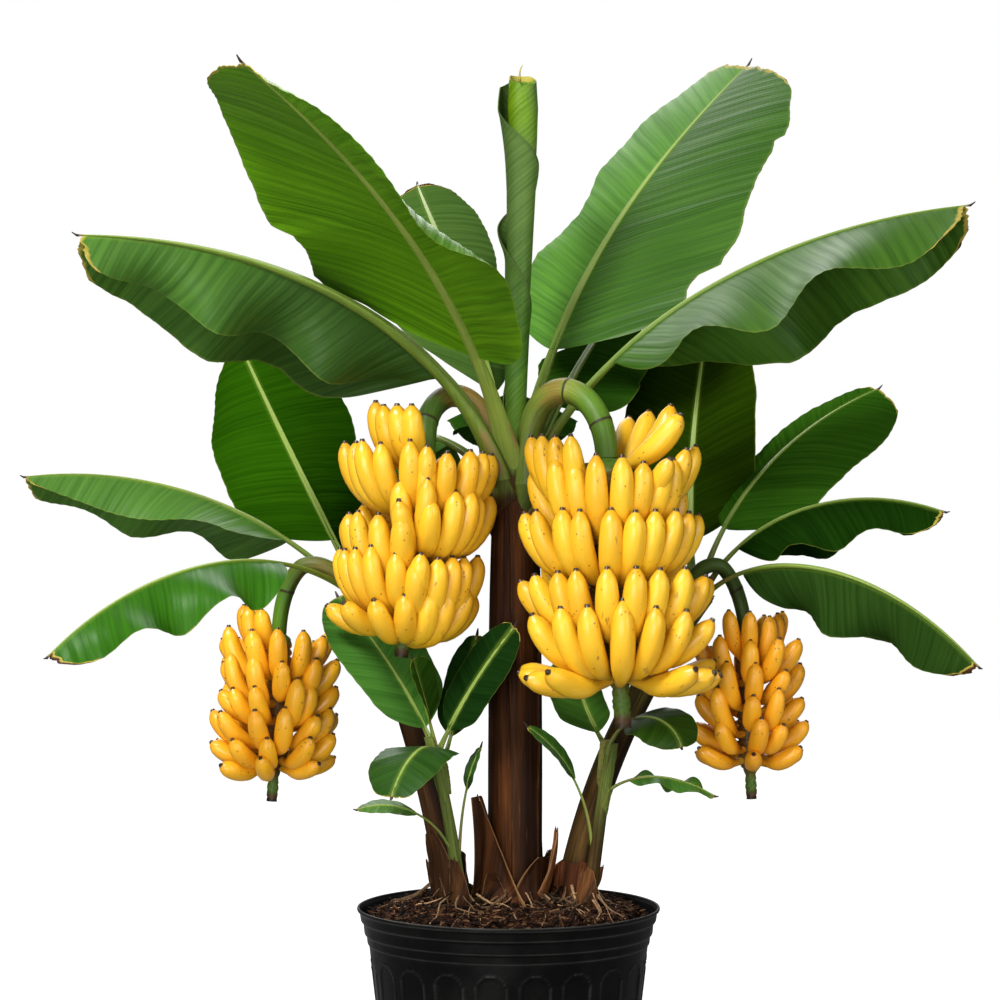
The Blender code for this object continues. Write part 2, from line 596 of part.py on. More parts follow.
def leaf_section(size, t, along, across):
    """Closed section of a leaf as offsets sideways and upward, at a share of its blade."""
    petiole, blade = size["length"]
    thick = LEAF_THICKNESS * (petiole + blade)
    stalk_half = size["stalk"] * (1 - 0.35 * min(1.0, along / petiole))
    width = float(margin(t, *size["shape"])) if along > petiole else 0.0
    fade = math.sqrt(max(0.0, math.sin(math.pi * t)))
    share = dict(t=t, width=width, fade=fade)
    if t > 0:
        top, low = thick / 2, thick / 2 + stalk_half * RIB_DEPTH * (1 - t) ** 1.3
    else:
        top, low = stalk_half * 0.55, stalk_half * 0.75
    left = [leaf_edge(size, 0, share, v, stalk_half, thick) for v in across]
    right = [leaf_edge(size, 1, share, v, stalk_half, thick) for v in across]
    ring = [(x, z) for (x, z), under in reversed(left)] + [(0.0, top)] + [(-x, z) for (x, z), under in right]
    ring += [(-x, z) for over, (x, z) in reversed(right)] + [(0.0, -low)] + [(x, z) for over, (x, z) in left]
    return ring


def leaf(name, size):
    """Petiole and blade as one body: a rib carries the blade's two halves along its course."""
    petiole, blade = size["length"]
    length = petiole + blade
    long = blade > LONG_BLADE
    across = (0.5, 1.0) if sum(size["half"]) > WIDE_BLADE else (1.0,)
    along = [0.0, petiole / 2] if long else [0.0]
    along += [petiole + blade * t for t in [0.0, 0.05, 0.14, *np.linspace(0.25, 1.0, 6 if long else 4)]]
    root = on_stem(size["stem"], size["share"], size["head"][0], LEAF_INSET)
    shares = np.array(along) / length
    place, ahead, side, up = frames(root, length, size["head"], size["rise"], size["bow"], shares)
    rings = []
    for k, distance in enumerate(along):
        t = min(1.0, max(0.0, (distance - petiole) / blade))
        roll = math.radians(size["roll"][0] + size["roll"][1] * t)
        s = math.cos(roll) * side[k] + math.sin(roll) * up[k]
        n = math.cos(roll) * up[k] - math.sin(roll) * side[k]
        rings.append([place[k] + s * x + n * z for x, z in leaf_section(size, t, distance, across)])
    return strip_skin(name, rings)


def strip_skin(name, rings):
    """Body through flat rings, upper side first, its ends closed by strips from one side to the other.

    Both sides are split along the same diagonals, so a thin blade keeps its thickness where it bends.
    """
    count = len(rings[0])
    half = count // 2
    points = [tuple(p) for ring in rings for p in ring]
    faces = []
    for r in range(len(rings) - 1):
        for i in range(count):
            j = (i + 1) % count
            a, b, c, d = r * count + i, r * count + j, (r + 1) * count + j, (r + 1) * count + i
            faces += [(a, b, c), (a, c, d)] if i < half else [(a, b, d), (b, c, d)]
    for start, turn in ((0, 1), (len(points) - count, -1)):
        for i in range(half - 1):
            quad = (start + i, start + i + 1, start + count - 2 - i, start + count - 1 - i)
            faces.append(quad[::turn])
    return body(name, points, faces)


def stalk_limbs(name):
    """Root, heading, rise, bow and length of a fruit stalk's two limbs, and where it ends."""
    size = STALKS[name]
    heads, rises = size["heads"], size["rises"]
    root = on_stem(size["stem"], size["share"], heads[0], size["inset"])
    first = dict(root=root, length=size["lengths"][0], head=heads[:2], rise=rises[:2], bow=size["bows"][0])
    ahead = frames(**first, shares=[1.0])[1][0]
    top = course(**first)[-1] + ahead * GAP
    second = dict(root=top, length=size["lengths"][1], head=heads[1:], rise=rises[1:], bow=size["bows"][1])
    return first, second, course(**second)[-1]


def fingers(name):
    """Course and thickness of every finger of a bunch, row by row round its stem."""
    size = BUNCHES[name]
    dice = np.random.default_rng(size["seed"])
    end = stalk_limbs(name)[2]
    head = (size["head"], size["head"])
    for drop, middle, fan, count, length, radius, lift, tip_middle, tip_side in size["rows"]:
        share = drop / size["length"]
        centre = frames(end, size["length"], head, size["rise"], 1.0, [share])[0][0]
        core = float(np.interp(share, *zip(*size["radii"])))
        hub = min(size["hub"], core * FINGER_ROOT_SHARE - 0.002)
        for k in range(count):
            place = (2 * k / (count - 1) - 1) if count > 1 else 0.0
            luck = dice.uniform(-1, 1, 5)
            angle = middle - place * fan / 2 + 2.5 * luck[0]
            tip = tip_middle + (tip_side - tip_middle) * place**2 + 3 * luck[1]
            yield dict(
                root=centre + hub * np.array([math.cos(math.radians(angle)), math.sin(math.radians(angle)), 0.0]),
                length=length * (1 + 0.035 * luck[2]),
                head=(angle, angle - 7 * place + 3 * luck[3]),
                rise=(lift + 2 * luck[4], tip),
                bow=size["bow"],
                radius=radius * (1 + 0.03 * luck[3]),
            )


def build_bunch(name):
    """Stem of the bunch with all its fingers, joined."""
    size = BUNCHES[name]
    end = stalk_limbs(name)[2]
    radii = size["radii"]
    first = frames(end, size["length"], (size["head"],) * 2, size["rise"], 1.0, [0.0])[1][0]
    head = (size["head"],) * 2
    core = tube("bunch_" + name, end + first * GAP, size["length"] - GAP, head, size["rise"], 1.0, radii, 7)
    pieces = []
    for k, finger in enumerate(fingers(name)):
        radius = finger.pop("radius")
        rings = [(s, radius * r) for s, r in FINGER_TAPER[size["sides"]]]
        pieces.append(tube(f"finger {k}", radii=rings, sides=size["sides"], **finger))
    fuse(core, pieces)
    return core


def build_pot():
    """Moulded pot with its rim bands, and the soil that fills it."""
    floor = POT_INSIDE[-1][1]
    pot = turned("pot", [(0, 0)] + POT_OUTSIDE + POT_INSIDE + [(0, floor)], POT_SEGMENTS)
    paint(pot, POT_COLOUR, 0.55)
    heights = [z for r, z in reversed(POT_INSIDE)]
    radii = [r for r, z in reversed(POT_INSIDE)]
    levels = [floor + GAP, heights[1], SOIL_EDGE]
    side = [(float(np.interp(z, heights, radii)) - SOIL_ROOM, z) for z in levels]
    mound = [(SOIL_SHOULDER, (SOIL_EDGE + 2 * SOIL_TOP) / 3), (SOIL_FLAT, SOIL_TOP), (0, SOIL_TOP)]
    soil = turned("soil", [(0, levels[0])] + side + mound, POT_SEGMENTS)
    paint(soil, SOIL_COLOUR, 0.95)


def build_stems(cutters):
    """The five stems on the soil, the dry sheath ends fused to their feet."""
    for name, size in STEMS.items():
        foot = (*size["foot"], SOIL_TOP + GAP)
        head = (size["head"], size["head"])
        stem = tube("stem_" + name, foot, size["length"], head, size["rise"], 1.0, size["radii"], size["sides"],
                    foot=foot[2])
        pieces = []
        for x, y, length, heading, low, high, wide, deep in SHEATHS.get(name, []):
            taper = [(0, wide), (.35, wide * .95), (.75, wide * .5), (1, wide * .14)]
            pieces.append(tube("sheath", (x, y, foot[2]), length, (heading, heading), (low, high), 1.0, taper, 6,
                               flat=deep / wide, foot=foot[2]))
        cutters[name] = grown(name, stem)
        if pieces:
            fuse(stem, pieces)
        paint(stem, GREEN_STEM if name.endswith("sucker") else BROWN_STEM, 0.6)


def grown(name, ob, room=TRIM_ROOM):
    """A copy of a limb, larger all round by the room, to trim what crosses it."""
    cutter = ob.copy()
    cutter.data = ob.data.copy()
    cutter.name = "trim_" + name
    cutter.modifiers.clear()
    bpy.context.scene.collection.objects.link(cutter)
    bm = bmesh.new()
    bm.from_mesh(cutter.data)
    bm.normal_update()
    moves = [(v, v.co + v.normal * room) for v in bm.verts]
    for v, place in moves:
        v.co = place
    bm.to_mesh(cutter.data)
    bm.free()
    cutter.hide_render = True
    cutter.display_type = "WIRE"
    return cutter


def build_stalks(cutters):
    """Each fruit stalk as a rising and a hanging limb."""
    for name, size in STALKS.items():
        first, second, end = stalk_limbs(name)
        wide, top, low = size["radii"]
        rise = tube("stalk_" + name + "_rising", radii=spread([(0, wide), (1, top)], 6), sides=8, **first)
        clear_of(rise, cutters[size["stem"]])
        hang = tube("stalk_" + name + "_hanging", radii=spread([(0, top), (1, low)], 5), sides=8, **second)
        for ob in (rise, hang):
            paint(ob, STALK_COLOUR, 0.5)
        cutters[name + "_rising"] = grown(name + "_rising", rise)
        cutters[name + "_hanging"] = grown(name + "_hanging", hang)


def build_leaves(cutters):
    """The rolled new leaf and every open leaf."""
    top, radius = stem_place("main", 1.0)
    foot = top + np.array([0, 0, GAP])
    spear = tube("leaf_rolled", foot, SPEAR_LENGTH, (80, 80), (90, 88.5), 1.0, SPEAR_RADII, 9)
    paint(spear, NEW_LEAF_COLOUR, 0.45)
    for name, size in LEAVES.items():
        blade = leaf("leaf_" + name, size)
        clear_of(blade, cutters[size["stem"]])
        for stalk, place in STALKS.items():
            if place["stem"] == size["stem"]:
                clear_of(blade, cutters[stalk + "_rising"])
        for other in size.get("beside", ()):
            clear_of(blade, cutters[other])
        cutters[name] = grown(name, blade, LEAF_TRIM_ROOM)
        paint(blade, size["colour"], 0.42)


def build_bunches(cutters):
    """The four bunches, each a little clear of the stalk it hangs on."""
    for name in BUNCHES:
        fruit = build_bunch(name)
        clear_of(fruit, cutters[name + "_hanging"])
        paint(fruit, FRUIT_COLOUR, 0.45)


trims = {}
build_pot()
build_stems(trims)
build_stalks(trims)
build_leaves(trims)
build_bunches(trims)
for trim in trims.values():
    bpy.data.objects.remove(trim, do_unlink=True)
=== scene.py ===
"""Looks of a dwarf banana tree in a nursery pot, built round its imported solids.

Metres, +Z up, -Y is the front. A heading is in degrees from +X towards +Y, a rise is in degrees above
the level. Every point keeps three attributes for the finishes: straight is its place as if its limb were
straight, mark holds shares that a finish fades by, and tint is its base colour.
"""
import math

import bmesh
import bpy
import numpy as np
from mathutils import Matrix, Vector, noise


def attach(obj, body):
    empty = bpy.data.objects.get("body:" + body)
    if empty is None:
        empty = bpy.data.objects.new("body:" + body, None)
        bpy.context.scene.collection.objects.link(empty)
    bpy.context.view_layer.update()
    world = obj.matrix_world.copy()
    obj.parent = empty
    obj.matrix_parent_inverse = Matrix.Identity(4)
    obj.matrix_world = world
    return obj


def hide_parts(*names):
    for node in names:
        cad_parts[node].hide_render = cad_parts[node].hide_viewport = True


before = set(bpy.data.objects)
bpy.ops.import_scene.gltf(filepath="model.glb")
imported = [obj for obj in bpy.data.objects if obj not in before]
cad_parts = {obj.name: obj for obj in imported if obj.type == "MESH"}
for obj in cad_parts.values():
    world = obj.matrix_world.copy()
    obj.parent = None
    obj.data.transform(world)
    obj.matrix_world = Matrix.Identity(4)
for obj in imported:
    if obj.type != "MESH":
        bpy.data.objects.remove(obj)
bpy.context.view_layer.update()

TAU = math.tau

# Room between a limb and what it stands on, and how far stems reach into the soil and leaf stalks into a stem
GAP = .0003
SUNK = .012
LEAF_INSET = .009

# Blades: thickness, length and width of a face, and how far side veins lean for each metre from the rib
SHEET = .0013
ROW = .0036
COLUMN = .0075
VEIN_LEAN = .50

# Half the thickness of a dry sheath or of the rolled leaf, and how far above its root a leaf's sheath starts
HUSK = .0008
WRAP_TOP = .016

# Pot as (radius, height): foot and top of the wall, lips of the rim, inside, the heights of the rim's edges
# that get a painted highlight, and the rows and columns of faces
POT_FOOT = (.1745, .003)
POT_SHOULDER = (.2125, .343)
POT_RIM = [(.2150, .3445), (.2162, .3575), (.2196, .3592), (.2212, .3765), (.2250, .3788), (.2268, .3925),
           (.2306, .3945), (.2308, .3990), (.2290, .4000), (.2268, .3990), (.2240, .388)]
POT_INSIDE = [(.2085, .340), (.1690, .006), (.0, .006)]
POT_HIGHLIGHT_HEIGHTS = (.3445, .3592, .3788, .3945, .3995)
WALL_ROWS = 118
POT_COLUMNS = 400

# Arched panels pressed into the pot's wall: pitch and turn in degrees, half width, heights of foot and top
PANEL_PITCH = 18
PANEL_TURN = 97.3
PANEL_HALF = .0233
PANEL_FOOT = .022
PANEL_TOP = .3265

# Soil: height at the stems, its profile as (radius, height), its radius, and how far out chips and roots lie
SOIL_TOP = .410
SOIL_PROFILE = [(0.0, 0.4065), (0.135, 0.4065), (0.183, 0.396), (0.2194, 0.3765)]
SOIL_REACH = .2194
LITTER_REACH = .214

# Rolled new leaf that stands on the main stem: length, radii, and turn of its outer margin at each height
SPEAR_LENGTH = .571
SPEAR_RADII = [(0, .0120), (.12, .0175), (.4, .0205), (.7, .0235), (.92, .0305), (1, .0270)]
SPEAR_MARGIN = [(1.09, 1010), (1.20, 860), (1.31, 720), (1.43, 540), (1.529, 360), (1.613, 190), (1.665, 160)]

# Fingers: rings and thickness as shares of the length, how the rise changes along them, how much lower they
# leave their stem, and how deep they stand in it
FINGER_LEVELS = [0, .06, .12, .18, .24, .30, .37, .45, .54, .63, .71, .78, .84, .89, .925, .95, .966, .982, 1]
FINGER_TAPER = [(0, .46), (.10, .40), (.18, .46), (.27, .70), (.36, .89), (.48, .99), (.62, 1.0), (.74, .96),
                (.84, .85), (.90, .70), (.94, .50), (.962, .33), (.978, .24), (1, .19)]
FINGER_BOW = .56
FINGER_DIP = 14
HUB_SHARE = .62

# Stems: foot, length, heading, rise at foot and top, radii at shares of the length
STEMS = {
    "main": dict(
        foot=(.01, 0), length=.68, head=0, rise=(90, 90),
        radii=[(0, .048), (.04, .044), (.15, .041), (.5, .0405), (.8, .037), (.95, .034), (1, .03)],
    ),
    "left": dict(
        foot=(-.086, .02), length=.475, head=172, rise=(82, 66),
        radii=[(0, .025), (.12, .0225), (.4, .0215), (.8, .0195), (1, .016)],
    ),
    "right": dict(
        foot=(.092, .015), length=.515, head=15, rise=(80, 50),
        radii=[(0, .026), (.12, .023), (.4, .0215), (.8, .0195), (1, .016)],
    ),
    "left_sucker": dict(
        foot=(-.07, -.062), length=.25, head=180, rise=(84, 76),
        radii=[(0, .013), (.15, .0105), (.5, .009), (1, .007)],
    ),
    "right_sucker": dict(
        foot=(.118, -.055), length=.245, head=0, rise=(82, 82),
        radii=[(0, .014), (.15, .0112), (.5, .0098), (1, .0075)],
    ),
}

# Fruit stalks: stem, share of its height, headings, rises, bows and lengths of the two limbs, radii at
# the root, the top and the end, ring seams as distances from the root, and tan and base colour along the run
STALKS = {
    "right": dict(
        stem="main", share=.93, inset=-.002, heads=(-57, -32, -59), rises=(90, 4, -87), bows=(2.35, .7),
        lengths=(.17, .146), radii=(.0195, .019, .017), seams=(.181, .262),
        tan=[(0, .2), (.25, .2), (.42, .45), (.54, .8), (.58, .15), (1, 0)],
        hues=[(0, (.09, .13, .02)), (.35, (.13, .18, .025)), (.6, (.18, .22, .03)),
              (.7, (.09, .18, .016)), (1, (.05, .11, .012))],
    ),
    "left": dict(
        stem="main", share=.93, inset=-.002, heads=(171, 208, 284), rises=(90, -5, -88), bows=(2.6, .67),
        lengths=(.167, .132), radii=(.018, .0175, .016), seams=(.235,),
        tan=[(0, .9), (.3, .9), (.6, .8), (.72, .1), (1, 0)],
        hues=[(0, (.12, .07, .02)), (.5, (.2, .13, .03)), (.7, (.05, .1, .015)), (1, (.06, .13, .015))],
    ),
    "far_left": dict(
        stem="left", share=.9, inset=.004, heads=(206, 167, 154), rises=(62, -26, -88), bows=(3, .42),
        lengths=(.159, .113), radii=(.0115, .0125, .0115), seams=(.205,),
        tan=[(0, .6), (.5, .5), (.74, .4), (.76, 0), (1, 0)],
        hues=[(0, (.07, .1, .015)), (.5, (.07, .1, .015)), (.76, (.06, .15, .01)), (1, (.1, .24, .015))],
    ),
    "far_right": dict(
        stem="right", share=.9, inset=.004, heads=(-73, 19, 0), rises=(84, -30, -88), bows=(2.6, .42),
        lengths=(.122, .121), radii=(.011, .0115, .0105), seams=(.165,), tan=[(0, .1), (.5, .1), (1, 0)],
        hues=[(0, (.05, .08, .012)), (1, (.05, .11, .015))],
    ),
}

# Bunches: course of the stem that hangs on from the stalk, its radii and that of its scarred core, base
# colour of the skin, how green the necks are, how many more and how much slimmer the fingers are than the
# solids', and how wild they lie. Rows of fingers: distance down the stem, heading of the middle, spread,
# count, length, radius, rise at the root, rise of the tip in the middle and at the sides
BUNCHES = {
    "right": dict(
        length=.4, head=0, rise=(-87, -86), seed=11, hub=.053, bow=.75,
        radii=[(0, .0165), (.04, .04), (.1, .057), (.76, .056), (.88, .026), (.92, .0135), (1, .0125)],
        skin=(.79, .455, .018), green=.35, more=1.22, slim=.95, wild=1, core=.041,
        rows=[
            (.007, 26, 92, 3, .122, .0188, 6, 84, 60),
            (.064, -14, 72, 3, .122, .018, 2, 84, 56),
            (.058, -148, 56, 3, .124, .018, 12, 90, 86),
            (.088, -84, 96, 6, .122, .0186, -2, 94, 90),
            (.094, 140, 50, 2, .11, .0178, 0, 88, 84),
            (.152, -88, 192, 10, .124, .019, -12, 93, 76),
            (.166, 92, 110, 3, .108, .0178, -4, 88, 82),
            (.242, -90, 176, 8, .122, .0194, -6, 96, 62),
            (.29, -88, 136, 6, .122, .0196, -14, 97, 64),
            (.268, 92, 110, 3, .108, .0178, -10, 86, 80),
            (.326, -166, 50, 3, .124, .0196, -22, 20, 30),
            (.326, -12, 52, 4, .124, .0196, -22, 26, 36),
            (.12, 60, 70, 3, .112, .018, -2, 88, 82),
            (.215, 92, 120, 3, .108, .018, -6, 88, 80),
            (.3, 90, 100, 3, .1, .0176, -12, 84, 76),
        ],
    ),
    "left": dict(
        length=.296, head=180, rise=(-84, -82), seed=23, hub=.04, bow=.75,
        radii=[(0, .0155), (.05, .03), (.12, .044), (.8, .042), (.89, .018), (.93, .0115), (1, .0105)],
        skin=(.77, .435, .017), green=.45, more=1.2, slim=.96, wild=1.1, core=.034,
        rows=[
            (.005, -146, 80, 4, .118, .0182, 16, 91, 86),
            (.051, -140, 112, 6, .12, .0176, -8, 92, 80),
            (.067, -46, 76, 4, .116, .0182, -2, 92, 84),
            (.06, 108, 60, 2, .1, .0168, -2, 90, 86),
            (.105, -92, 18, 2, .118, .0172, -10, 93, 93),
            (.121, -42, 104, 6, .116, .0176, -14, 92, 78),
            (.158, -142, 80, 4, .116, .0182, -2, 92, 84),
            (.186, 98, 70, 2, .1, .0168, -8, 90, 84),
            (.202, -138, 108, 6, .114, .0176, -12, 90, 76),
            (.219, -44, 76, 4, .112, .0182, -4, 92, 82),
            (.255, -54, 110, 5, .108, .0178, -18, 88, 70),
            (.241, -158, 24, 2, .098, .0168, -22, 48, 48),
            (.085, 84, 100, 3, .104, .0172, -4, 90, 84),
            (.13, 92, 110, 3, .104, .0172, -6, 90, 82),
            (.228, 95, 110, 3, .098, .017, -12, 86, 78),
        ],
    ),
    "far_left": dict(
        length=.258, head=180, rise=(-89, -86), seed=37, hub=.034, bow=.8,
        radii=[(0, .011), (.05, .024), (.11, .037), (.8, .035), (.89, .014), (.93, .009), (1, .008)],
        skin=(.88, .43, .013), green=.5, more=1, slim=1, wild=2.4, core=.022,
        rows=[
            (.016, -170, 100, 4, .078, .0138, 26, 86, 80),
            (.049, -84, 204, 7, .08, .0146, 4, 90, 72),
            (.082, -92, 236, 8, .08, .0146, -8, 88, 62),
            (.12, -86, 224, 8, .08, .0146, -8, 86, 60),
            (.157, -92, 236, 8, .08, .0146, -12, 82, 54),
            (.186, -90, 228, 7, .078, .0144, -18, 68, 44),
            (.204, -90, 226, 5, .074, .0138, -20, 38, 26),
            (.138, 95, 60, 2, .076, .0136, -8, 80, 80),
            (.055, 92, 96, 3, .07, .0138, 0, 88, 80),
            (.098, 84, 110, 4, .07, .0138, -6, 86, 76),
            (.172, 94, 104, 3, .068, .0136, -12, 74, 64),
        ],
    ),
    "far_right": dict(
        length=.246, head=0, rise=(-88, -88), seed=41, hub=.03, bow=.8,
        radii=[(0, .0105), (.05, .022), (.11, .033), (.8, .032), (.89, .014), (.93, .009), (1, .008)],
        skin=(.9, .415, .012), green=.5, more=1, slim=1, wild=2.4, core=.02,
        rows=[
            (.019, -36, 160, 6, .074, .0132, 28, 88, 78),
            (.047, -92, 216, 7, .075, .014, 2, 88, 66),
            (.081, -86, 230, 7, .075, .014, -8, 86, 58),
            (.122, -92, 224, 7, .075, .014, -8, 82, 56),
            (.156, -88, 230, 7, .074, .014, -16, 74, 48),
            (.182, -92, 224, 5, .07, .0134, -18, 44, 32),
            (.138, 95, 60, 2, .074, .0132, -8, 80, 80),
            (.055, 92, 96, 3, .068, .0132, 0, 88, 80),
            (.098, 96, 110, 4, .068, .0132, -6, 84, 74),
            (.166, 86, 104, 3, .066, .013, -12, 72, 62),
        ],
    ),
}
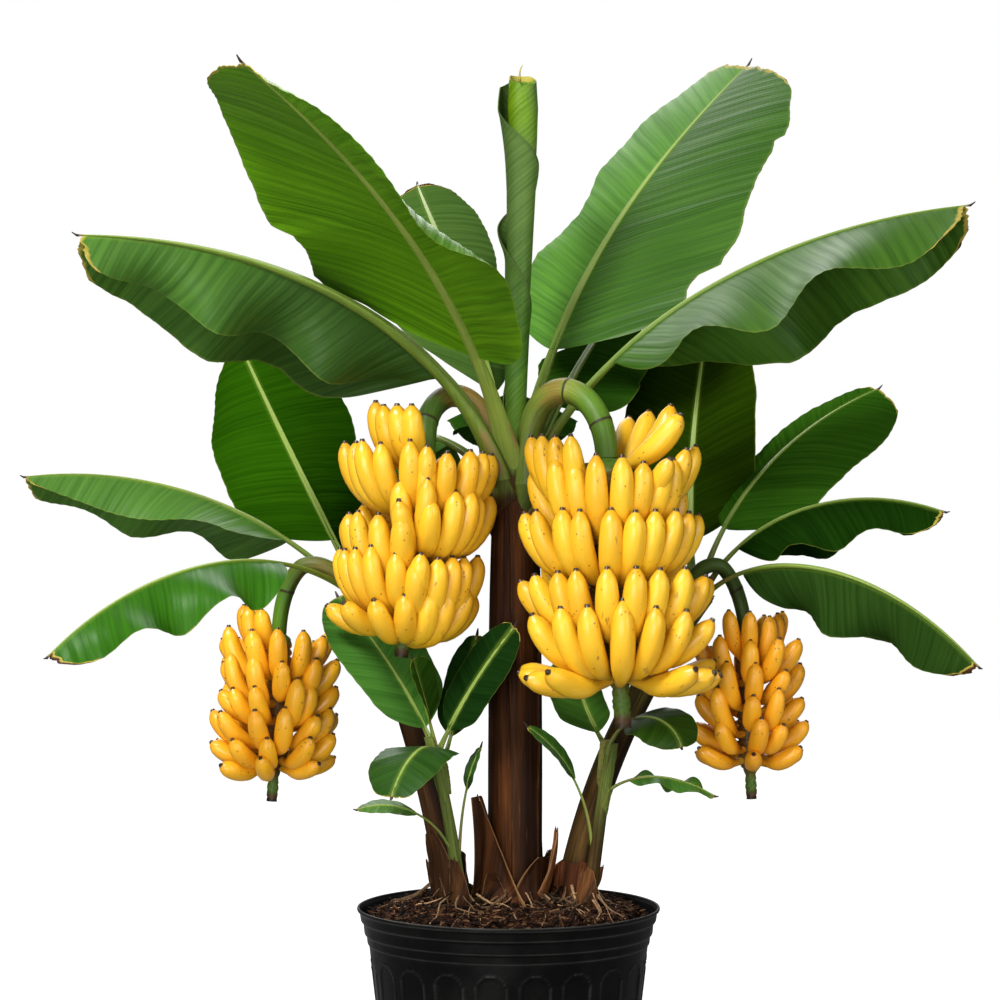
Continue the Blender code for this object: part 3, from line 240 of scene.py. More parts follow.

# Leaves: share is the place on the stem, length is petiole and blade, then pairs for the left and right
# half, and the waves of the margin. Trim and the painted light and shade are tables along the blade for the
# two halves, the second lightening or darkening each half where light or shade falls on it. Dry and dim
# are factors, sheath is how much wider the stalk starts and over what length, hook ends the rib
LEAVES = {
    "upper_left": dict(
        stem="main", share=.975, head=(251, 223), rise=(59, 28), bow=.55, length=(.205, .64),
        half=(.198, .22), stalk=.0135, roll=(-14, 4), fold=(-6, 1), curl=(-21, -14), shape=(.22, .6, .42),
        wave=(-.022, .023), waves=(2.1, 1.4), phase=(355, 40), colour=(.078, .215, .004),
        trim=([(0, 1), (.58, 1), (.67, .92), (.76, .8), (.87, .6), (.94, .6), (1, .7)],
              [(0, 1), (.12, .97), (.17, 1.09), (.22, 1.09), (.3, 1), (.36, .94), (.41, .93), (.45, 1.04),
               (.52, 1.03), (.6, 1), (.85, .98), (.93, .94), (1, .8)]),
        painted_light_and_shade=([(0, 1), (.45, 1), (.6, 1.25), (1, 1.4)], [(0, 1), (1, 1)]), rib=(.2, .28, .045),
        hook=.007, sheath=(1, .1),
    ),
    "left_arching": dict(
        stem="main", share=.945, head=(214, 197), rise=(79, -1), bow=.55, length=(.186, .608),
        half=(.11, .191), stalk=.014, roll=(-32, 16), fold=(-62, -54), curl=(-42, -24),
        shape=(.25, .45, .3), wave=(-.03, .03), waves=(2.8, 2.1), phase=(360, 190),
        colour=(.045, .12, .014), dry=.65, hook=.007, sheath=(2.4, .26),
        painted_light_and_shade=([(0, .5), (.45, .65), (.7, 1.1), (1, 1.2)], [(0, .5), (.45, .6), (.7, 1), (1, 1.1)]),
    ),
    "upper_right": dict(
        stem="main", share=.972, head=(67, 19), rise=(67, 44), bow=.55, length=(.209, .64),
        half=(.117, .22), stalk=.011, roll=(3, 6), fold=(10, -2), curl=(-10, -7), shape=(.2, .72, .62),
        colour=(.052, .148, .014),
        trim=([(0, 1), (.3, 1.02), (.36, .85), (.43, .75), (.5, .84), (.58, 1.01), (.7, 1.02), (1, .98)],
              [(0, 1), (.14, .92), (.21, .88), (.26, .93), (.3, 1.07), (.4, 1.12), (.5, 1.07), (.6, 1.03),
               (.7, 1), (.735, .965), (.76, 1.045), (.82, 1), (.93, .92), (1, .72)]),
        hook=.008, painted_light_and_shade=([(0, 1.35), (1, 1.3)], [(0, .7), (1, .62)]), sheath=(.8, .05),
    ),
    "right_arching": dict(
        stem="main", share=.945, head=(-8, -27), rise=(72, 3), bow=.66, length=(.218, .599),
        half=(.146, .197), stalk=.011, roll=(-7, 10), fold=(-61, -32), curl=(-42, -1),
        shape=(.25, .45, .3), wave=(.03, .03), waves=(2.4, 2.4), phase=(70, 230),
        colour=(.036, .098, .008),
        trim=([(0, .5), (.1, .6), (.2, .72), (.3, .95), (.4, 1), (1, 1)], [(0, 1), (1, 1)]), dry=.75,
        hook=.007,
    ),
    "back_left_tall": dict(
        stem="main", share=.97, head=(118, 96), rise=(81, 18), bow=.55, length=(.129, .667),
        half=(.129, .109), stalk=.01, roll=(12, -45), fold=(3, -22), curl=(-14, -26),
        shape=(.25, .6, .35), colour=(.06, .13, .02), dry=1.3,
    ),
    "left_stem_tall": dict(
        stem="left", share=.965, head=(129, 113), rise=(47, 36), bow=1.61, length=(.144, .505),
        half=(.12, .184), stalk=.008, roll=(5, -45), fold=(-19, -30), curl=(-21, -24),
        shape=(.22, .6, .4), colour=(.016, .07, .001),
    ),
    "left_stem_arching": dict(
        stem="left", share=.95, head=(172, 192), rise=(49, -7), bow=1.04, length=(.17, .425),
        half=(.067, .14), stalk=.008, roll=(-8, 12), fold=(-36, -29), curl=(5, -15), shape=(.22, .4, .25),
        wave=(.03, .018), waves=(.8, 2.3), phase=(70, 150), colour=(.076, .202, .025), dim=.7,
    ),
    "left_stem_drooping": dict(
        stem="left", share=.965, head=(235, 205), rise=(34, -45), bow=1.01, length=(.212, .418),
        half=(.096, .054), stalk=.007, roll=(2, -9), fold=(-24, -59), curl=(-19, -21),
        shape=(.22, .45, .3), wave=(.027, .021), waves=(2.9, 2), phase=(45, 250),
        colour=(.018, .08, .003), dry=1.1, dim=1.25,
    ),
    "right_stem_tall": dict(
        stem="right", share=.965, head=(98, 56), rise=(68, 69), bow=1.01, length=(.104, .392),
        half=(.124, .102), stalk=.008, roll=(-2, -8), fold=(3, 6), curl=(-10, -9), shape=(.25, .6, .3),
        colour=(.012, .03, .0007),
    ),
    "right_stem_upper": dict(
        stem="right", share=.955, head=(25, 15), rise=(82, 22), bow=.74, length=(.129, .354),
        half=(.063, .135), stalk=.007, roll=(1, -1), fold=(14, -17), curl=(-11, -19),
        shape=(.22, .7, .45), colour=(.022, .08, .004), dim=1.05,
    ),
    "right_stem_arching": dict(
        stem="right", share=.965, head=(-16, -18), rise=(72, -20), bow=.79, length=(.106, .343),
        half=(.093, .091), stalk=.007, roll=(-5, 14), fold=(-39, -40), curl=(-8, -4), shape=(.2, .4, .3),
        wave=(.03, .018), waves=(2, 2.4), phase=(10, 200), colour=(.012, .054, .003), dry=.9, dim=.45,
    ),
    "right_stem_drooping": dict(
        stem="right", share=.95, head=(-42, -22), rise=(62, -48), bow=.55, length=(.106, .428),
        half=(.096, .082), stalk=.007, roll=(17, -5), fold=(-59, -60), curl=(-23, -41),
        shape=(.22, .55, .3), wave=(.024, .028), waves=(1.6, 2.2), phase=(15, 110),
        colour=(.025, .07, .008), dry=1.1, dim=.6,
    ),
    "sucker_large": dict(
        stem="left_sucker", share=.86, head=(178, 144), rise=(70, 42), bow=.95, length=(.058, .247),
        half=(.082, .07), stalk=.0055, roll=(-50, -3), fold=(30, -3), curl=(1, -14), shape=(.25, .55, .3),
        colour=(.033, .107, .012), dim=1.45,
    ),
    "sucker_upright": dict(
        stem="left_sucker", share=.96, head=(230, 203), rise=(73, 72), bow=.98, length=(.04, .102),
        half=(.044, .049), stalk=.004, roll=(-20, -6), fold=(-4, 36), curl=(-15, 5), shape=(.3, .6, .3),
        colour=(.04, .122, .009), dim=.6,
    ),
    "sucker_right": dict(
        stem="left_sucker", share=.9, head=(-14, -21), rise=(67, 50), bow=.88, length=(.046, .19),
        half=(.035, .044), stalk=.0045, roll=(60, 8), fold=(15, 5), curl=(-5, -10), shape=(.25, .6, .35),
        colour=(.008, .034, .004), dim=.65,
    ),
    "sucker_front": dict(
        stem="left_sucker", share=.9, head=(256, 233), rise=(40, -67), bow=.88, length=(.015, .172),
        half=(.054, .064), stalk=.004, roll=(-4, -4), fold=(5, -3), curl=(-15, -11), shape=(.25, .6, .4),
        colour=(.019, .062, .007),
    ),
    "sucker_low_left": dict(
        stem="left_sucker", share=.17, head=(195, 185), rise=(84, -20), bow=1.07, length=(.118, .095),
        half=(.024, .035), stalk=.0035, roll=(-8, -1), fold=(-11, 5), curl=(-16, -7), shape=(.3, .5, .15),
        colour=(.061, .156, .021),
    ),
    "sucker_low_right": dict(
        stem="left_sucker", share=.22, head=(12, 10), rise=(88, 64), bow=1.8, length=(.119, .067),
        half=(.036, .022), stalk=.0035, roll=(2, -4), fold=(7, 3), curl=(-4, -6), shape=(.3, .5, .2),
        colour=(.021, .072, .007),
    ),
    "right_sucker_upright": dict(
        stem="right_sucker", share=.95, head=(126, 119), rise=(39, 72), bow=1.12, length=(.038, .135),
        half=(.057, .033), stalk=.0045, roll=(-4, -2), fold=(10, 18), curl=(-8, -4), shape=(.25, .6, .35),
        colour=(.032, .098, .009),
    ),
    "right_sucker_side": dict(
        stem="right_sucker", share=.93, head=(-24, -34), rise=(78, -76), bow=1.13, length=(.053, .121),
        half=(.056, .055), stalk=.0045, roll=(7, 6), fold=(5, -10), curl=(-7, -15), shape=(.25, .6, .45),
        colour=(.019, .054, .003),
    ),
    "right_sucker_low_right": dict(
        stem="right_sucker", share=.66, head=(-15, -8), rise=(64, -32), bow=.55, length=(.049, .138),
        half=(.016, .025), stalk=.004, roll=(5, 0), fold=(-16, -17), curl=(-6, -12), shape=(.3, .5, .15),
        wave=(.018, -.006), waves=(1.8, 2), phase=(340, 35), colour=(.04, .122, .013),
    ),
    "right_sucker_low_left": dict(
        stem="right_sucker", share=.3, head=(188, 195), rise=(88, 33), bow=1.17, length=(.12, .11),
        half=(.041, .026), stalk=.0038, roll=(-10, -5), fold=(-5, 16), curl=(-10, 0), shape=(.3, .45, .1),
        colour=(.025, .089, .007),
    ),
    "back_left_drooping": dict(
        stem="main", share=.905, head=(142, 114), rise=(56, -44), bow=.9, length=(.14, .28),
        half=(.105, .11), stalk=.0105, roll=(-8, 4), fold=(-30, -34), curl=(-22, -22),
        shape=(.24, .5, .3), wave=(.012, .014), waves=(2.2, 2.4), phase=(20, 110),
        colour=(.089, .216, .034),
    ),
    "back_right_high": dict(
        stem="main", share=.935, head=(56, 74), rise=(56, 20), bow=.9, length=(.16, .34), half=(.1, .1),
        stalk=.01, roll=(6, 0), fold=(-24, -20), curl=(-18, -18), shape=(.24, .5, .3), wave=(.01, .012),
        waves=(2.1, 2.5), phase=(60, 200), colour=(.014, .05, .003),
    ),
    "back_right_drooping": dict(
        stem="main", share=.915, head=(20, 34), rise=(46, -56), bow=.9, length=(.09, .18),
        half=(.055, .06), stalk=.009, roll=(0, 0), fold=(-24, -30), curl=(-20, -20), shape=(.24, .5, .3),
        wave=(.01, .012), waves=(2.2, 2), phase=(80, 10), colour=(.021, .089, .006),
    ),
    "back_middle": dict(
        stem="main", share=.93, head=(92, 86), rise=(50, -38), bow=1, length=(.16, .5), half=(.115, .115),
        stalk=.011, roll=(0, 0), fold=(-20, -20), curl=(-18, -18), shape=(.24, .5, .3), wave=(.014, .012),
        waves=(2.1, 2.4), phase=(40, 160), colour=(.037, .133, .01), dim=.6,
    ),
    "left_stem_back": dict(
        stem="left", share=.91, head=(84, 70), rise=(50, -30), bow=1, length=(.1, .38), half=(.085, .085),
        stalk=.008, roll=(0, 0), fold=(-20, -24), curl=(-18, -18), shape=(.24, .5, .3), wave=(.01, .01),
        waves=(2, 2.3), phase=(30, 120), colour=(.027, .107, .006),
    ),
    "right_stem_back": dict(
        stem="right", share=.91, head=(128, 112), rise=(50, -30), bow=1, length=(.1, .38),
        half=(.085, .085), stalk=.008, roll=(0, 0), fold=(-20, -24), curl=(-18, -18), shape=(.24, .5, .3),
        wave=(.01, .01), waves=(2.2, 2), phase=(70, 160), colour=(.025, .098, .006),
    ),
    "sucker_back": dict(
        stem="left_sucker", share=.8, head=(50, 66), rise=(66, 60), bow=1, length=(.06, .17),
        half=(.036, .036), stalk=.0042, roll=(0, 0), fold=(6, 6), curl=(-8, -8), shape=(.26, .55, .3),
        colour=(.009, .037, .004), dim=.7,
    ),
}

# Seams where a sheath overlaps the next: angle at the foot and how far it turns for each metre of height
SEAMS = {
    "main": [(-98, -10), (25, 25), (150, -20), (-40, 30)],
    "left": [(-120, 40), (60, 30)],
    "right": [(-70, -40), (110, 20)],
    "left_sucker": [(-100, 60), (80, 60)],
    "right_sucker": [(-80, -60), (100, 60)],
}

# Looks of the stems: base colour, and how green they are along their length
STEM_LOOKS = {
    "main": ((.050, .017, .004), [(0, 0), (.95, 0), (1, .2)]),
    "left": ((.048, .022, .007), [(0, 0), (.45, .10), (.75, .45), (1, .8)]),
    "right": ((.050, .028, .006), [(0, .05), (.3, .30), (.7, .5), (1, .8)]),
    "left_sucker": ((.085, .080, .022), [(0, .35), (.25, .75), (1, 1.0)]),
    "right_sucker": ((.075, .048, .014), [(0, .10), (.3, .38), (.7, .62), (1, .9)]),
}

# What lies on the soil: base colours of the chips, how many chips and twigs, and roots for each stem
BROWNS = [(.013, .006, .004), (.026, .010, .005), (.060, .026, .012), (.007, .004, .003), (.140, .075, .036),
          (.030, .012, .006)]
CHIPS = 4600
TWIGS = 26
ROOTS = dict(main=58, left=18, right=22, left_sucker=12, right_sucker=12)

# Leaves that hardly shine
DULL = ("right_stem_tall", "right_stem_upper", "right_stem_arching", "right_stem_drooping", "left_stem_tall",
        "sucker_right", "sucker_upright", "sucker_back", "back_left_tall", "back_left_drooping",
        "back_right_high", "back_right_drooping", "back_middle")

# Dry sheath ends: stem, angle round it and distance from its axis, length, half width, rise at foot and tip,
# lean away from the angle, roll at foot and tip, curl and base colour
FLAPS = [
    ("main", -38, .044, .150, .016, (58, 96), 14, (-10, 85), 75, (.17, .070, .028)),
    ("main", 182, .072, .066, .009, (64, 88), 0, (0, 40), 60, (.030, .014, .007)),
    ("main", 40, .050, .100, .016, (64, 84), 10, (0, 60), 60, (.12, .055, .022)),
    ("left", 150, .026, .080, .013, (60, 88), 0, (0, 50), 60, (.055, .024, .010)),
    ("left_sucker", 175, .018, .066, .008, (64, 80), 0, (0, 30), 60, (.030, .015, .008)),
    ("right", -10, .030, .075, .012, (60, 84), 0, (0, -50), 60, (.12, .050, .020)),
]

# Dry sheaths that still hug a foot: stem, angles of the first and last margin, height, how far they stand
# off, how blunt the top is, towards which margin it leans and base colour
HUSKS = [
    ("main", 188, 280, .188, .0165, .85, .10, (.070, .026, .010)),
    ("main", -92, 20, .088, .0085, 1.8, .5, (.030, .011, .004)),
    ("main", 212, 258, .062, .0110, 1.6, .5, (.055, .022, .008)),
    ("main", 20, 130, .130, .0050, 1.5, .5, (.050, .020, .008)),
    ("main", 100, 180, .060, .0070, 1.6, .5, (.060, .026, .010)),
    ("right", -178, -20, .080, .0060, 3.2, .5, (.085, .028, .010)),
    ("right", -60, 80, .120, .0035, 1.6, .5, (.070, .036, .012)),
    ("left", 170, 300, .125, .0035, 1.5, .5, (.045, .019, .007)),
    ("left", -40, 100, .090, .0040, 1.5, .5, (.035, .015, .006)),
    ("left_sucker", 180, 330, .090, .0030, 1.4, .5, (.050, .022, .008)),
    ("right_sucker", 170, 320, .075, .0035, 1.6, .5, (.080, .034, .012)),
]


def rows_of(*columns):
    """Points from their coordinates, each of them an array or one number for all."""
    return np.stack(np.broadcast_arrays(*columns), -1)


def outward(angle):
    """Level direction for each heading in radians."""
    return rows_of(np.cos(angle), np.sin(angle), 0.0)


def course(root, length, head, rise, bow=1.0, steps=288):
    """Places along a limb whose heading and rise change from the first to the second value."""
    share = (np.arange(steps) + 0.5) / steps
    heading = np.radians(head[0] + (head[1] - head[0]) * share)
    lift = np.radians(rise[0] + (rise[1] - rise[0]) * share**bow)
    way = rows_of(np.cos(heading) * np.cos(lift), np.sin(heading) * np.cos(lift), np.sin(lift))
    return np.vstack([np.zeros(3), np.cumsum(way, 0) * (length / steps)]) + np.asarray(root, float)


def frames(root, length, head, rise, bow, shares):
    """Place, direction, left side and upper side of a limb at each share of its length."""
    shares = np.asarray(shares, float)
    line = course(root, length, head, rise, bow)
    spot = np.clip(shares, 0, 1) * (len(line) - 1)
    low = np.minimum(spot.astype(int), len(line) - 2)
    part = (spot - low)[:, None]
    place = line[low] * (1 - part) + line[low + 1] * part
    heading = np.radians(head[0] + (head[1] - head[0]) * shares)
    lift = np.radians(rise[0] + (rise[1] - rise[0]) * np.clip(shares, 0, None) ** bow)
    ahead = rows_of(np.cos(heading) * np.cos(lift), np.sin(heading) * np.cos(lift), np.sin(lift))
    side = rows_of(-np.sin(heading), np.cos(heading), 0.0)
    place = place + ahead * (np.maximum(shares - 1, 0) * length)[:, None]
    return place, ahead, side, np.cross(ahead, side)


def turned(side, up, lean):
    """Left and upper side of each section once it is turned by its lean in radians."""
    lean = lean[:, None]
    return np.cos(lean) * side + np.sin(lean) * up, np.cos(lean) * up - np.sin(lean) * side


def along(table, share):
    """Value of a table of (share, value) pairs at each share."""
    return np.interp(share, *zip(*table))


def stem_limb(stem):
    """Course of a stem from the soil up."""
    size = STEMS[stem]
    return dict(root=(*size["foot"], SOIL_TOP + GAP), length=size["length"], head=(size["head"],) * 2,
                rise=size["rise"], bow=1.0)


def stem_place(stem, share):
    """Centre and radius of a stem at a share of its height."""
    return frames(**stem_limb(stem), shares=[share])[0][0], float(along(STEMS[stem]["radii"], share))


def on_stem(stem, share, heading, inset):
    """Root of a leaf or stalk, a little inside the stem's surface."""
    place, radius = stem_place(stem, share)
    return place + (radius - inset) * outward(math.radians(heading))


def ease(low, high, value):
    """Smooth step from 0 at low to 1 at high."""
    part = np.clip((np.asarray(value, float) - low) / (high - low), 0, 1)
    return part * part * (3 - 2 * part)


def bell(value, middle, width):
    """Smooth peak of 1 at the middle."""
    return np.exp(-(((value - middle) / width) ** 2))


def grain(place, scale=1.0, seed=0.0):
    """Smooth noise from -1 to 1 at places given as an array of points or as a tuple of three columns."""
    if isinstance(place, tuple):
        place = rows_of(*place)
    spots = np.asarray(place, float) * np.asarray(scale, float) + seed
    return np.array([noise.noise(Vector(spot)) for spot in spots])


class Shape:
    """Faces of one mesh as arrays: points, corners face by face, and how many corners each face has."""

    def __init__(self, bm):
        mesh = bpy.data.meshes.new("unit")
        bm.to_mesh(mesh)
        bm.free()
        self.points = np.zeros(len(mesh.vertices) * 3)
        mesh.vertices.foreach_get("co", self.points)
        self.points = self.points.reshape(-1, 3)
        self.corners = np.zeros(len(mesh.loops), np.int32)
        mesh.loops.foreach_get("vertex_index", self.corners)
        self.sizes = np.zeros(len(mesh.polygons), np.int32)
        mesh.polygons.foreach_get("loop_total", self.sizes)
        bpy.data.meshes.remove(mesh)


def unit_rod(around, levels):
    """Rod rolled from a grid, closed at both ends, with its rings at these shares of its length."""
    levels = np.asarray(levels, float)
    bm = bmesh.new()
    bmesh.ops.create_grid(bm, x_segments=around, y_segments=len(levels) - 1, size=0.5)
    for v in bm.verts:
        turn = (v.co.x + 0.5) * TAU
        v.co = (math.cos(turn), math.sin(turn), (v.co.y + 0.5) * (len(levels) - 1))
    bmesh.ops.remove_doubles(bm, verts=bm.verts, dist=1e-3)
    bmesh.ops.edgeloop_fill(bm, edges=[e for e in bm.edges if e.is_boundary])
    bmesh.ops.recalc_face_normals(bm, faces=bm.faces)
    rod = Shape(bm)
    rod.turn = np.arctan2(rod.points[:, 1], rod.points[:, 0]) % TAU
    rod.ring = np.rint(rod.points[:, 2]).astype(int)
    rod.levels = levels
    rod.share = levels[rod.ring]
    return rod


def wrapped(rod, place, side, up, x, z):
    """Points of a rod whose rings stand at these places, each x to the side and z up from its ring."""
    return place[rod.ring] + side[rod.ring] * x[:, None] + up[rod.ring] * z[:, None]


def bend(rod, limb, thick):
    """Points of a round rod that follows a limb, and the same points as if the limb were straight."""
    place, _, side, up = frames(**limb, shares=rod.levels)
    x, z = thick * np.cos(rod.turn), thick * np.sin(rod.turn)
    return wrapped(rod, place, side, up, x, z), rows_of(x, z, rod.share * limb["length"])


class Heap:
    """Gathers shapes and makes one piece of them."""

    def __init__(self):
        self.parts = []
        self.count = 0

    def add(self, shape, points, straight, mark, tint, slot=0):
        """Adds a shape. The mark is three columns, the tint may differ by point and the slot by face."""
        n = len(points)
        tint = np.broadcast_to(np.asarray(tint, float), (n, 3))
        mark = np.broadcast_to(rows_of(*mark), (n, 3))
        self.parts.append((points, shape.corners + self.count, shape.sizes, straight, mark,
                           np.hstack([tint, np.ones((n, 1))]), np.full(len(shape.sizes), slot)))
        self.count += n

    def make(self, name, finishes, slot, nodes, smooth):
        """One piece in the scene, smooth where faces meet at less than this angle in degrees."""
        points, corners, sizes, straight, mark, tint, slots = (np.concatenate(p) for p in zip(*self.parts))
        mesh = bpy.data.meshes.new(name)
        mesh.vertices.add(len(points))
        mesh.vertices.foreach_set("co", points.ravel())
        mesh.loops.add(len(corners))
        mesh.loops.foreach_set("vertex_index", corners)
        mesh.polygons.add(len(sizes))
        mesh.polygons.foreach_set("loop_start", np.concatenate([[0], np.cumsum(sizes)[:-1]]).astype(np.int32))
        mesh.polygons.foreach_set("material_index", slots.astype(np.int32))
        mesh.update(calc_edges=True)
        for layer, values in (("straight", straight), ("mark", mark)):
            attribute = mesh.attributes.new(layer, "FLOAT_VECTOR", "POINT")
            attribute.data.foreach_set("vector", values.astype(float).ravel())
        mesh.attributes.new("tint", "FLOAT_COLOR", "POINT").data.foreach_set("color", tint.ravel())
        for finish in finishes:
            mesh.materials.append(finish)
        mesh.shade_smooth()
        mesh.set_sharp_from_angle(angle=math.radians(smooth))
        ob = bpy.data.objects.new(name, mesh)
        bpy.context.scene.collection.objects.link(ob)
        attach(ob, "root")
        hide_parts(*nodes)


class Finish:
    """A material in the making: every call adds a node and gives its first output."""

    def __init__(self, name, rough, specular):
        self.material = bpy.data.materials.new(name)
        self.material.use_nodes = True
        self.tree = self.material.node_tree
        self.shader = self.tree.nodes["Principled BSDF"]
        self.shader.inputs["Roughness"].default_value = rough
        self.shader.inputs["Specular IOR Level"].default_value = specular

    def put(self, kind, sockets, out=0, **settings):
        """A new node with these values or links on its inputs."""
        node = self.tree.nodes.new("ShaderNode" + kind)
        for key, value in settings.items():
            setattr(node, key, value)
        for key, value in sockets.items():
            if isinstance(value, bpy.types.NodeSocket):
                self.tree.links.new(value, node.inputs[key])
            else:
                node.inputs[key].default_value = value
        return node.outputs[out]

    def read(self, layer):
        """The vector that each point carries under this name."""
        return self.put("Attribute", {}, out=1, attribute_name=layer)

    def tint(self):
        """Base colour that each point carries."""
        return self.put("Attribute", {}, attribute_name="tint")

    def split(self, vector):
        """The three numbers of a vector."""
        return self.put("SeparateXYZ", {0: vector}).node.outputs

    def sum(self, a, b, operation="ADD"):
        return self.put("Math", {0: a, 1: b}, operation=operation)

    def times(self, a, b):
        return self.sum(a, b, "MULTIPLY")

    def times_plus(self, a, factor, rest):
        return self.put("Math", {0: a, 1: factor, 2: rest}, operation="MULTIPLY_ADD")

    def sine(self, a):
        """Sine of a value as a share from 0 to 1."""
        return self.times_plus(self.sum(a, 0.0, "SINE"), 0.5, 0.5)

    def step(self, value, low, high, first=0.0, last=1.0):
        """Smooth change from first to last while the value goes from low to high."""
        return self.put("MapRange", {"Value": value, "From Min": low, "From Max": high, "To Min": first,
                                     "To Max": last}, interpolation_type="SMOOTHSTEP")

    def spots(self, vector, scale, detail=2.0, rough=0.5, stir=0.0):
        """Smooth noise from 0 to 1."""
        return self.put("TexNoise", {"Vector": vector, "Scale": scale, "Detail": detail, "Roughness": rough,
                                     "Distortion": stir})

    def streaks(self, vector, across, run, detail, rough=0.5, stir=0.0):
        """Smooth noise from 0 to 1, with one scale across a limb and one along it."""
        stretched = self.put("Mapping", {"Vector": vector, "Scale": (across, across, run)})
        return self.spots(stretched, 1.0, detail, rough, stir)

    def veins(self, away, run, cloud, lean, stir, slide):
        """Distance at which each side vein leaves the rib, and the same as a vector for noise in lines."""
        vein = self.times_plus(away, -lean, run)
        vein = self.times_plus(cloud, stir, vein)
        return vein, self.put("CombineXYZ", {0: vein, 1: self.times(away, slide), 2: 0.0})

    def blend(self, share, first, second, kind="MIX"):
        """Mix of two colours."""
        node = self.tree.nodes.new("ShaderNodeMix")
        node.data_type = "RGBA"
        node.blend_type = kind
        for key, value in ((0, share), (6, first), (7, second)):
            if isinstance(value, bpy.types.NodeSocket):
                self.tree.links.new(value, node.inputs[key])
            else:
                node.inputs[key].default_value = value if key == 0 else (*value, 1.0)
        return node.outputs[2]

    def toned(self, colour, factors):
        """A colour times these factors for red, green and blue."""
        return self.blend(1.0, colour, factors, "MULTIPLY")

    def relief(self, *heights):
        """Bumps one over the other: (height, distance in metres) pairs."""
        normal = None
        for height, distance in heights:
            sockets = {"Height": height, "Distance": distance, "Strength": 1.0}
            if normal is not None:
                sockets["Normal"] = normal
            normal = self.put("Bump", sockets)
        self.tree.links.new(normal, self.shader.inputs["Normal"])

    def done(self, colour, rough=None):
        """The material, with its colour and, if it varies, its roughness."""
        self.tree.links.new(colour, self.shader.inputs["Base Color"])
        if rough is not None:
            self.tree.links.new(rough, self.shader.inputs["Roughness"])
        return self.material


def blade_finish(name, under, shine):
    """Banana leaf: side veins that lean towards the tip, wide lighter and darker bands, a thin dry edge."""
    rib_green, edge_green, edge_brown = (0.18, 0.28, 0.035), (0.20, 0.26, 0.04), (0.12, 0.09, 0.015)
    straw, dead = (0.33, 0.26, 0.045), (0.045, 0.020, 0.008)
    f = Finish(name, 0.45, shine)
    straight = f.read("straight")
    across, _, run = f.split(straight)
    edge, _, dry = f.split(f.read("mark"))
    away = f.sum(across, 0.0, "ABSOLUTE")
    vein, lines = f.veins(away, run, f.spots(straight, 9.0), VEIN_LEAN, 0.010, 0.035)
    wide = f.spots(lines, 24.0, 1.5, 0.55)
    medium = f.spots(lines, 95.0, 2.0, 0.6)
    fine = f.spots(lines, 420.0, 1.0)
    ribs = f.sine(f.times(vein, TAU / 0.0078))
    tint = f.tint()
    deep = f.toned(tint, (0.54, 0.61, 0.62) if under else (0.58, 0.66, 0.68))
    pale = f.toned(tint, (1.48, 1.34, 1.60) if under else (1.48, 1.32, 1.65))
    colour = f.blend(f.step(medium, 0.30, 0.70), deep, pale)
    colour = f.blend(f.step(wide, 0.32, 0.68, 0.0, 0.40), colour, pale)
    colour = f.blend(f.times(f.step(ribs, 0.55, 1.0), 0.30), colour, pale)
    colour = f.blend(f.step(fine, 0.2, 0.8, 0.30, 0.0), colour, deep)
    colour = f.blend(f.step(f.spots(straight, 5.0, 1.0), 0.35, 0.70, 0.0, 0.35), colour, deep)
    colour = f.blend(f.step(away, 0.0, 0.009, 0.35, 0.0), colour, rib_green)
    colour = f.blend(f.step(edge, 0.975, 0.995, 0.0, 0.25), colour, edge_green)
    colour = f.blend(f.step(edge, 0.994, 1.0, 0.0, 0.25), colour, edge_brown)
    withered = f.sum(dry, f.times(f.spots(straight, 60.0, 3.0), 0.5))
    colour = f.blend(f.step(withered, 0.62, 0.80), colour, straw)
    colour = f.blend(f.step(withered, 0.88, 1.08), colour, dead)
    f.relief((ribs, 0.00012), (medium, 0.0002), (fine, 0.0001))
    return f.done(colour, f.step(medium, 0.2, 0.8, 0.46, 0.34))


def rib_finish(name):
    """Leaf stalk and midrib: pale green with lengthwise fibres, browner at the foot."""
    pale, brown = (0.30, 0.41, 0.09), (0.10, 0.072, 0.018)
    tan, dead = (0.22, 0.145, 0.045), (0.020, 0.012, 0.007)
    f = Finish(name, 0.42, 0.28)
    straight = f.read("straight")
    height = f.split(straight)[1]
    share, foot, dry = f.split(f.read("mark"))
    tint = f.tint()
    fibres = f.streaks(straight, 900.0, 9.0, 3.0, 0.6)
    cloud = f.streaks(straight, 60.0, 14.0, 2.0)
    deep, light = f.toned(tint, (0.72, 0.75, 0.7)), f.toned(tint, (1.28, 1.22, 1.25))
    colour = f.blend(f.step(fibres, 0.3, 0.7), deep, light)
    colour = f.blend(f.step(cloud, 0.35, 0.75, 0.0, 0.35), colour, f.toned(tint, (0.6, 0.7, 0.6)))
    upper = f.times(f.step(height, 0.0005, 0.004), f.step(share, 0.0, 0.25, 0.25, 0.60))
    colour = f.blend(upper, colour, pale)
    colour = f.blend(f.times(foot, f.times(cloud, 0.35)), colour, brown)
    colour = f.blend(f.step(dry, 0.10, 0.34, 0.0, 0.8), colour, tan)
    colour = f.blend(f.step(dry, 0.5, 0.9), colour, dead)
    f.relief((fibres, 0.0005))
    return f.done(colour)


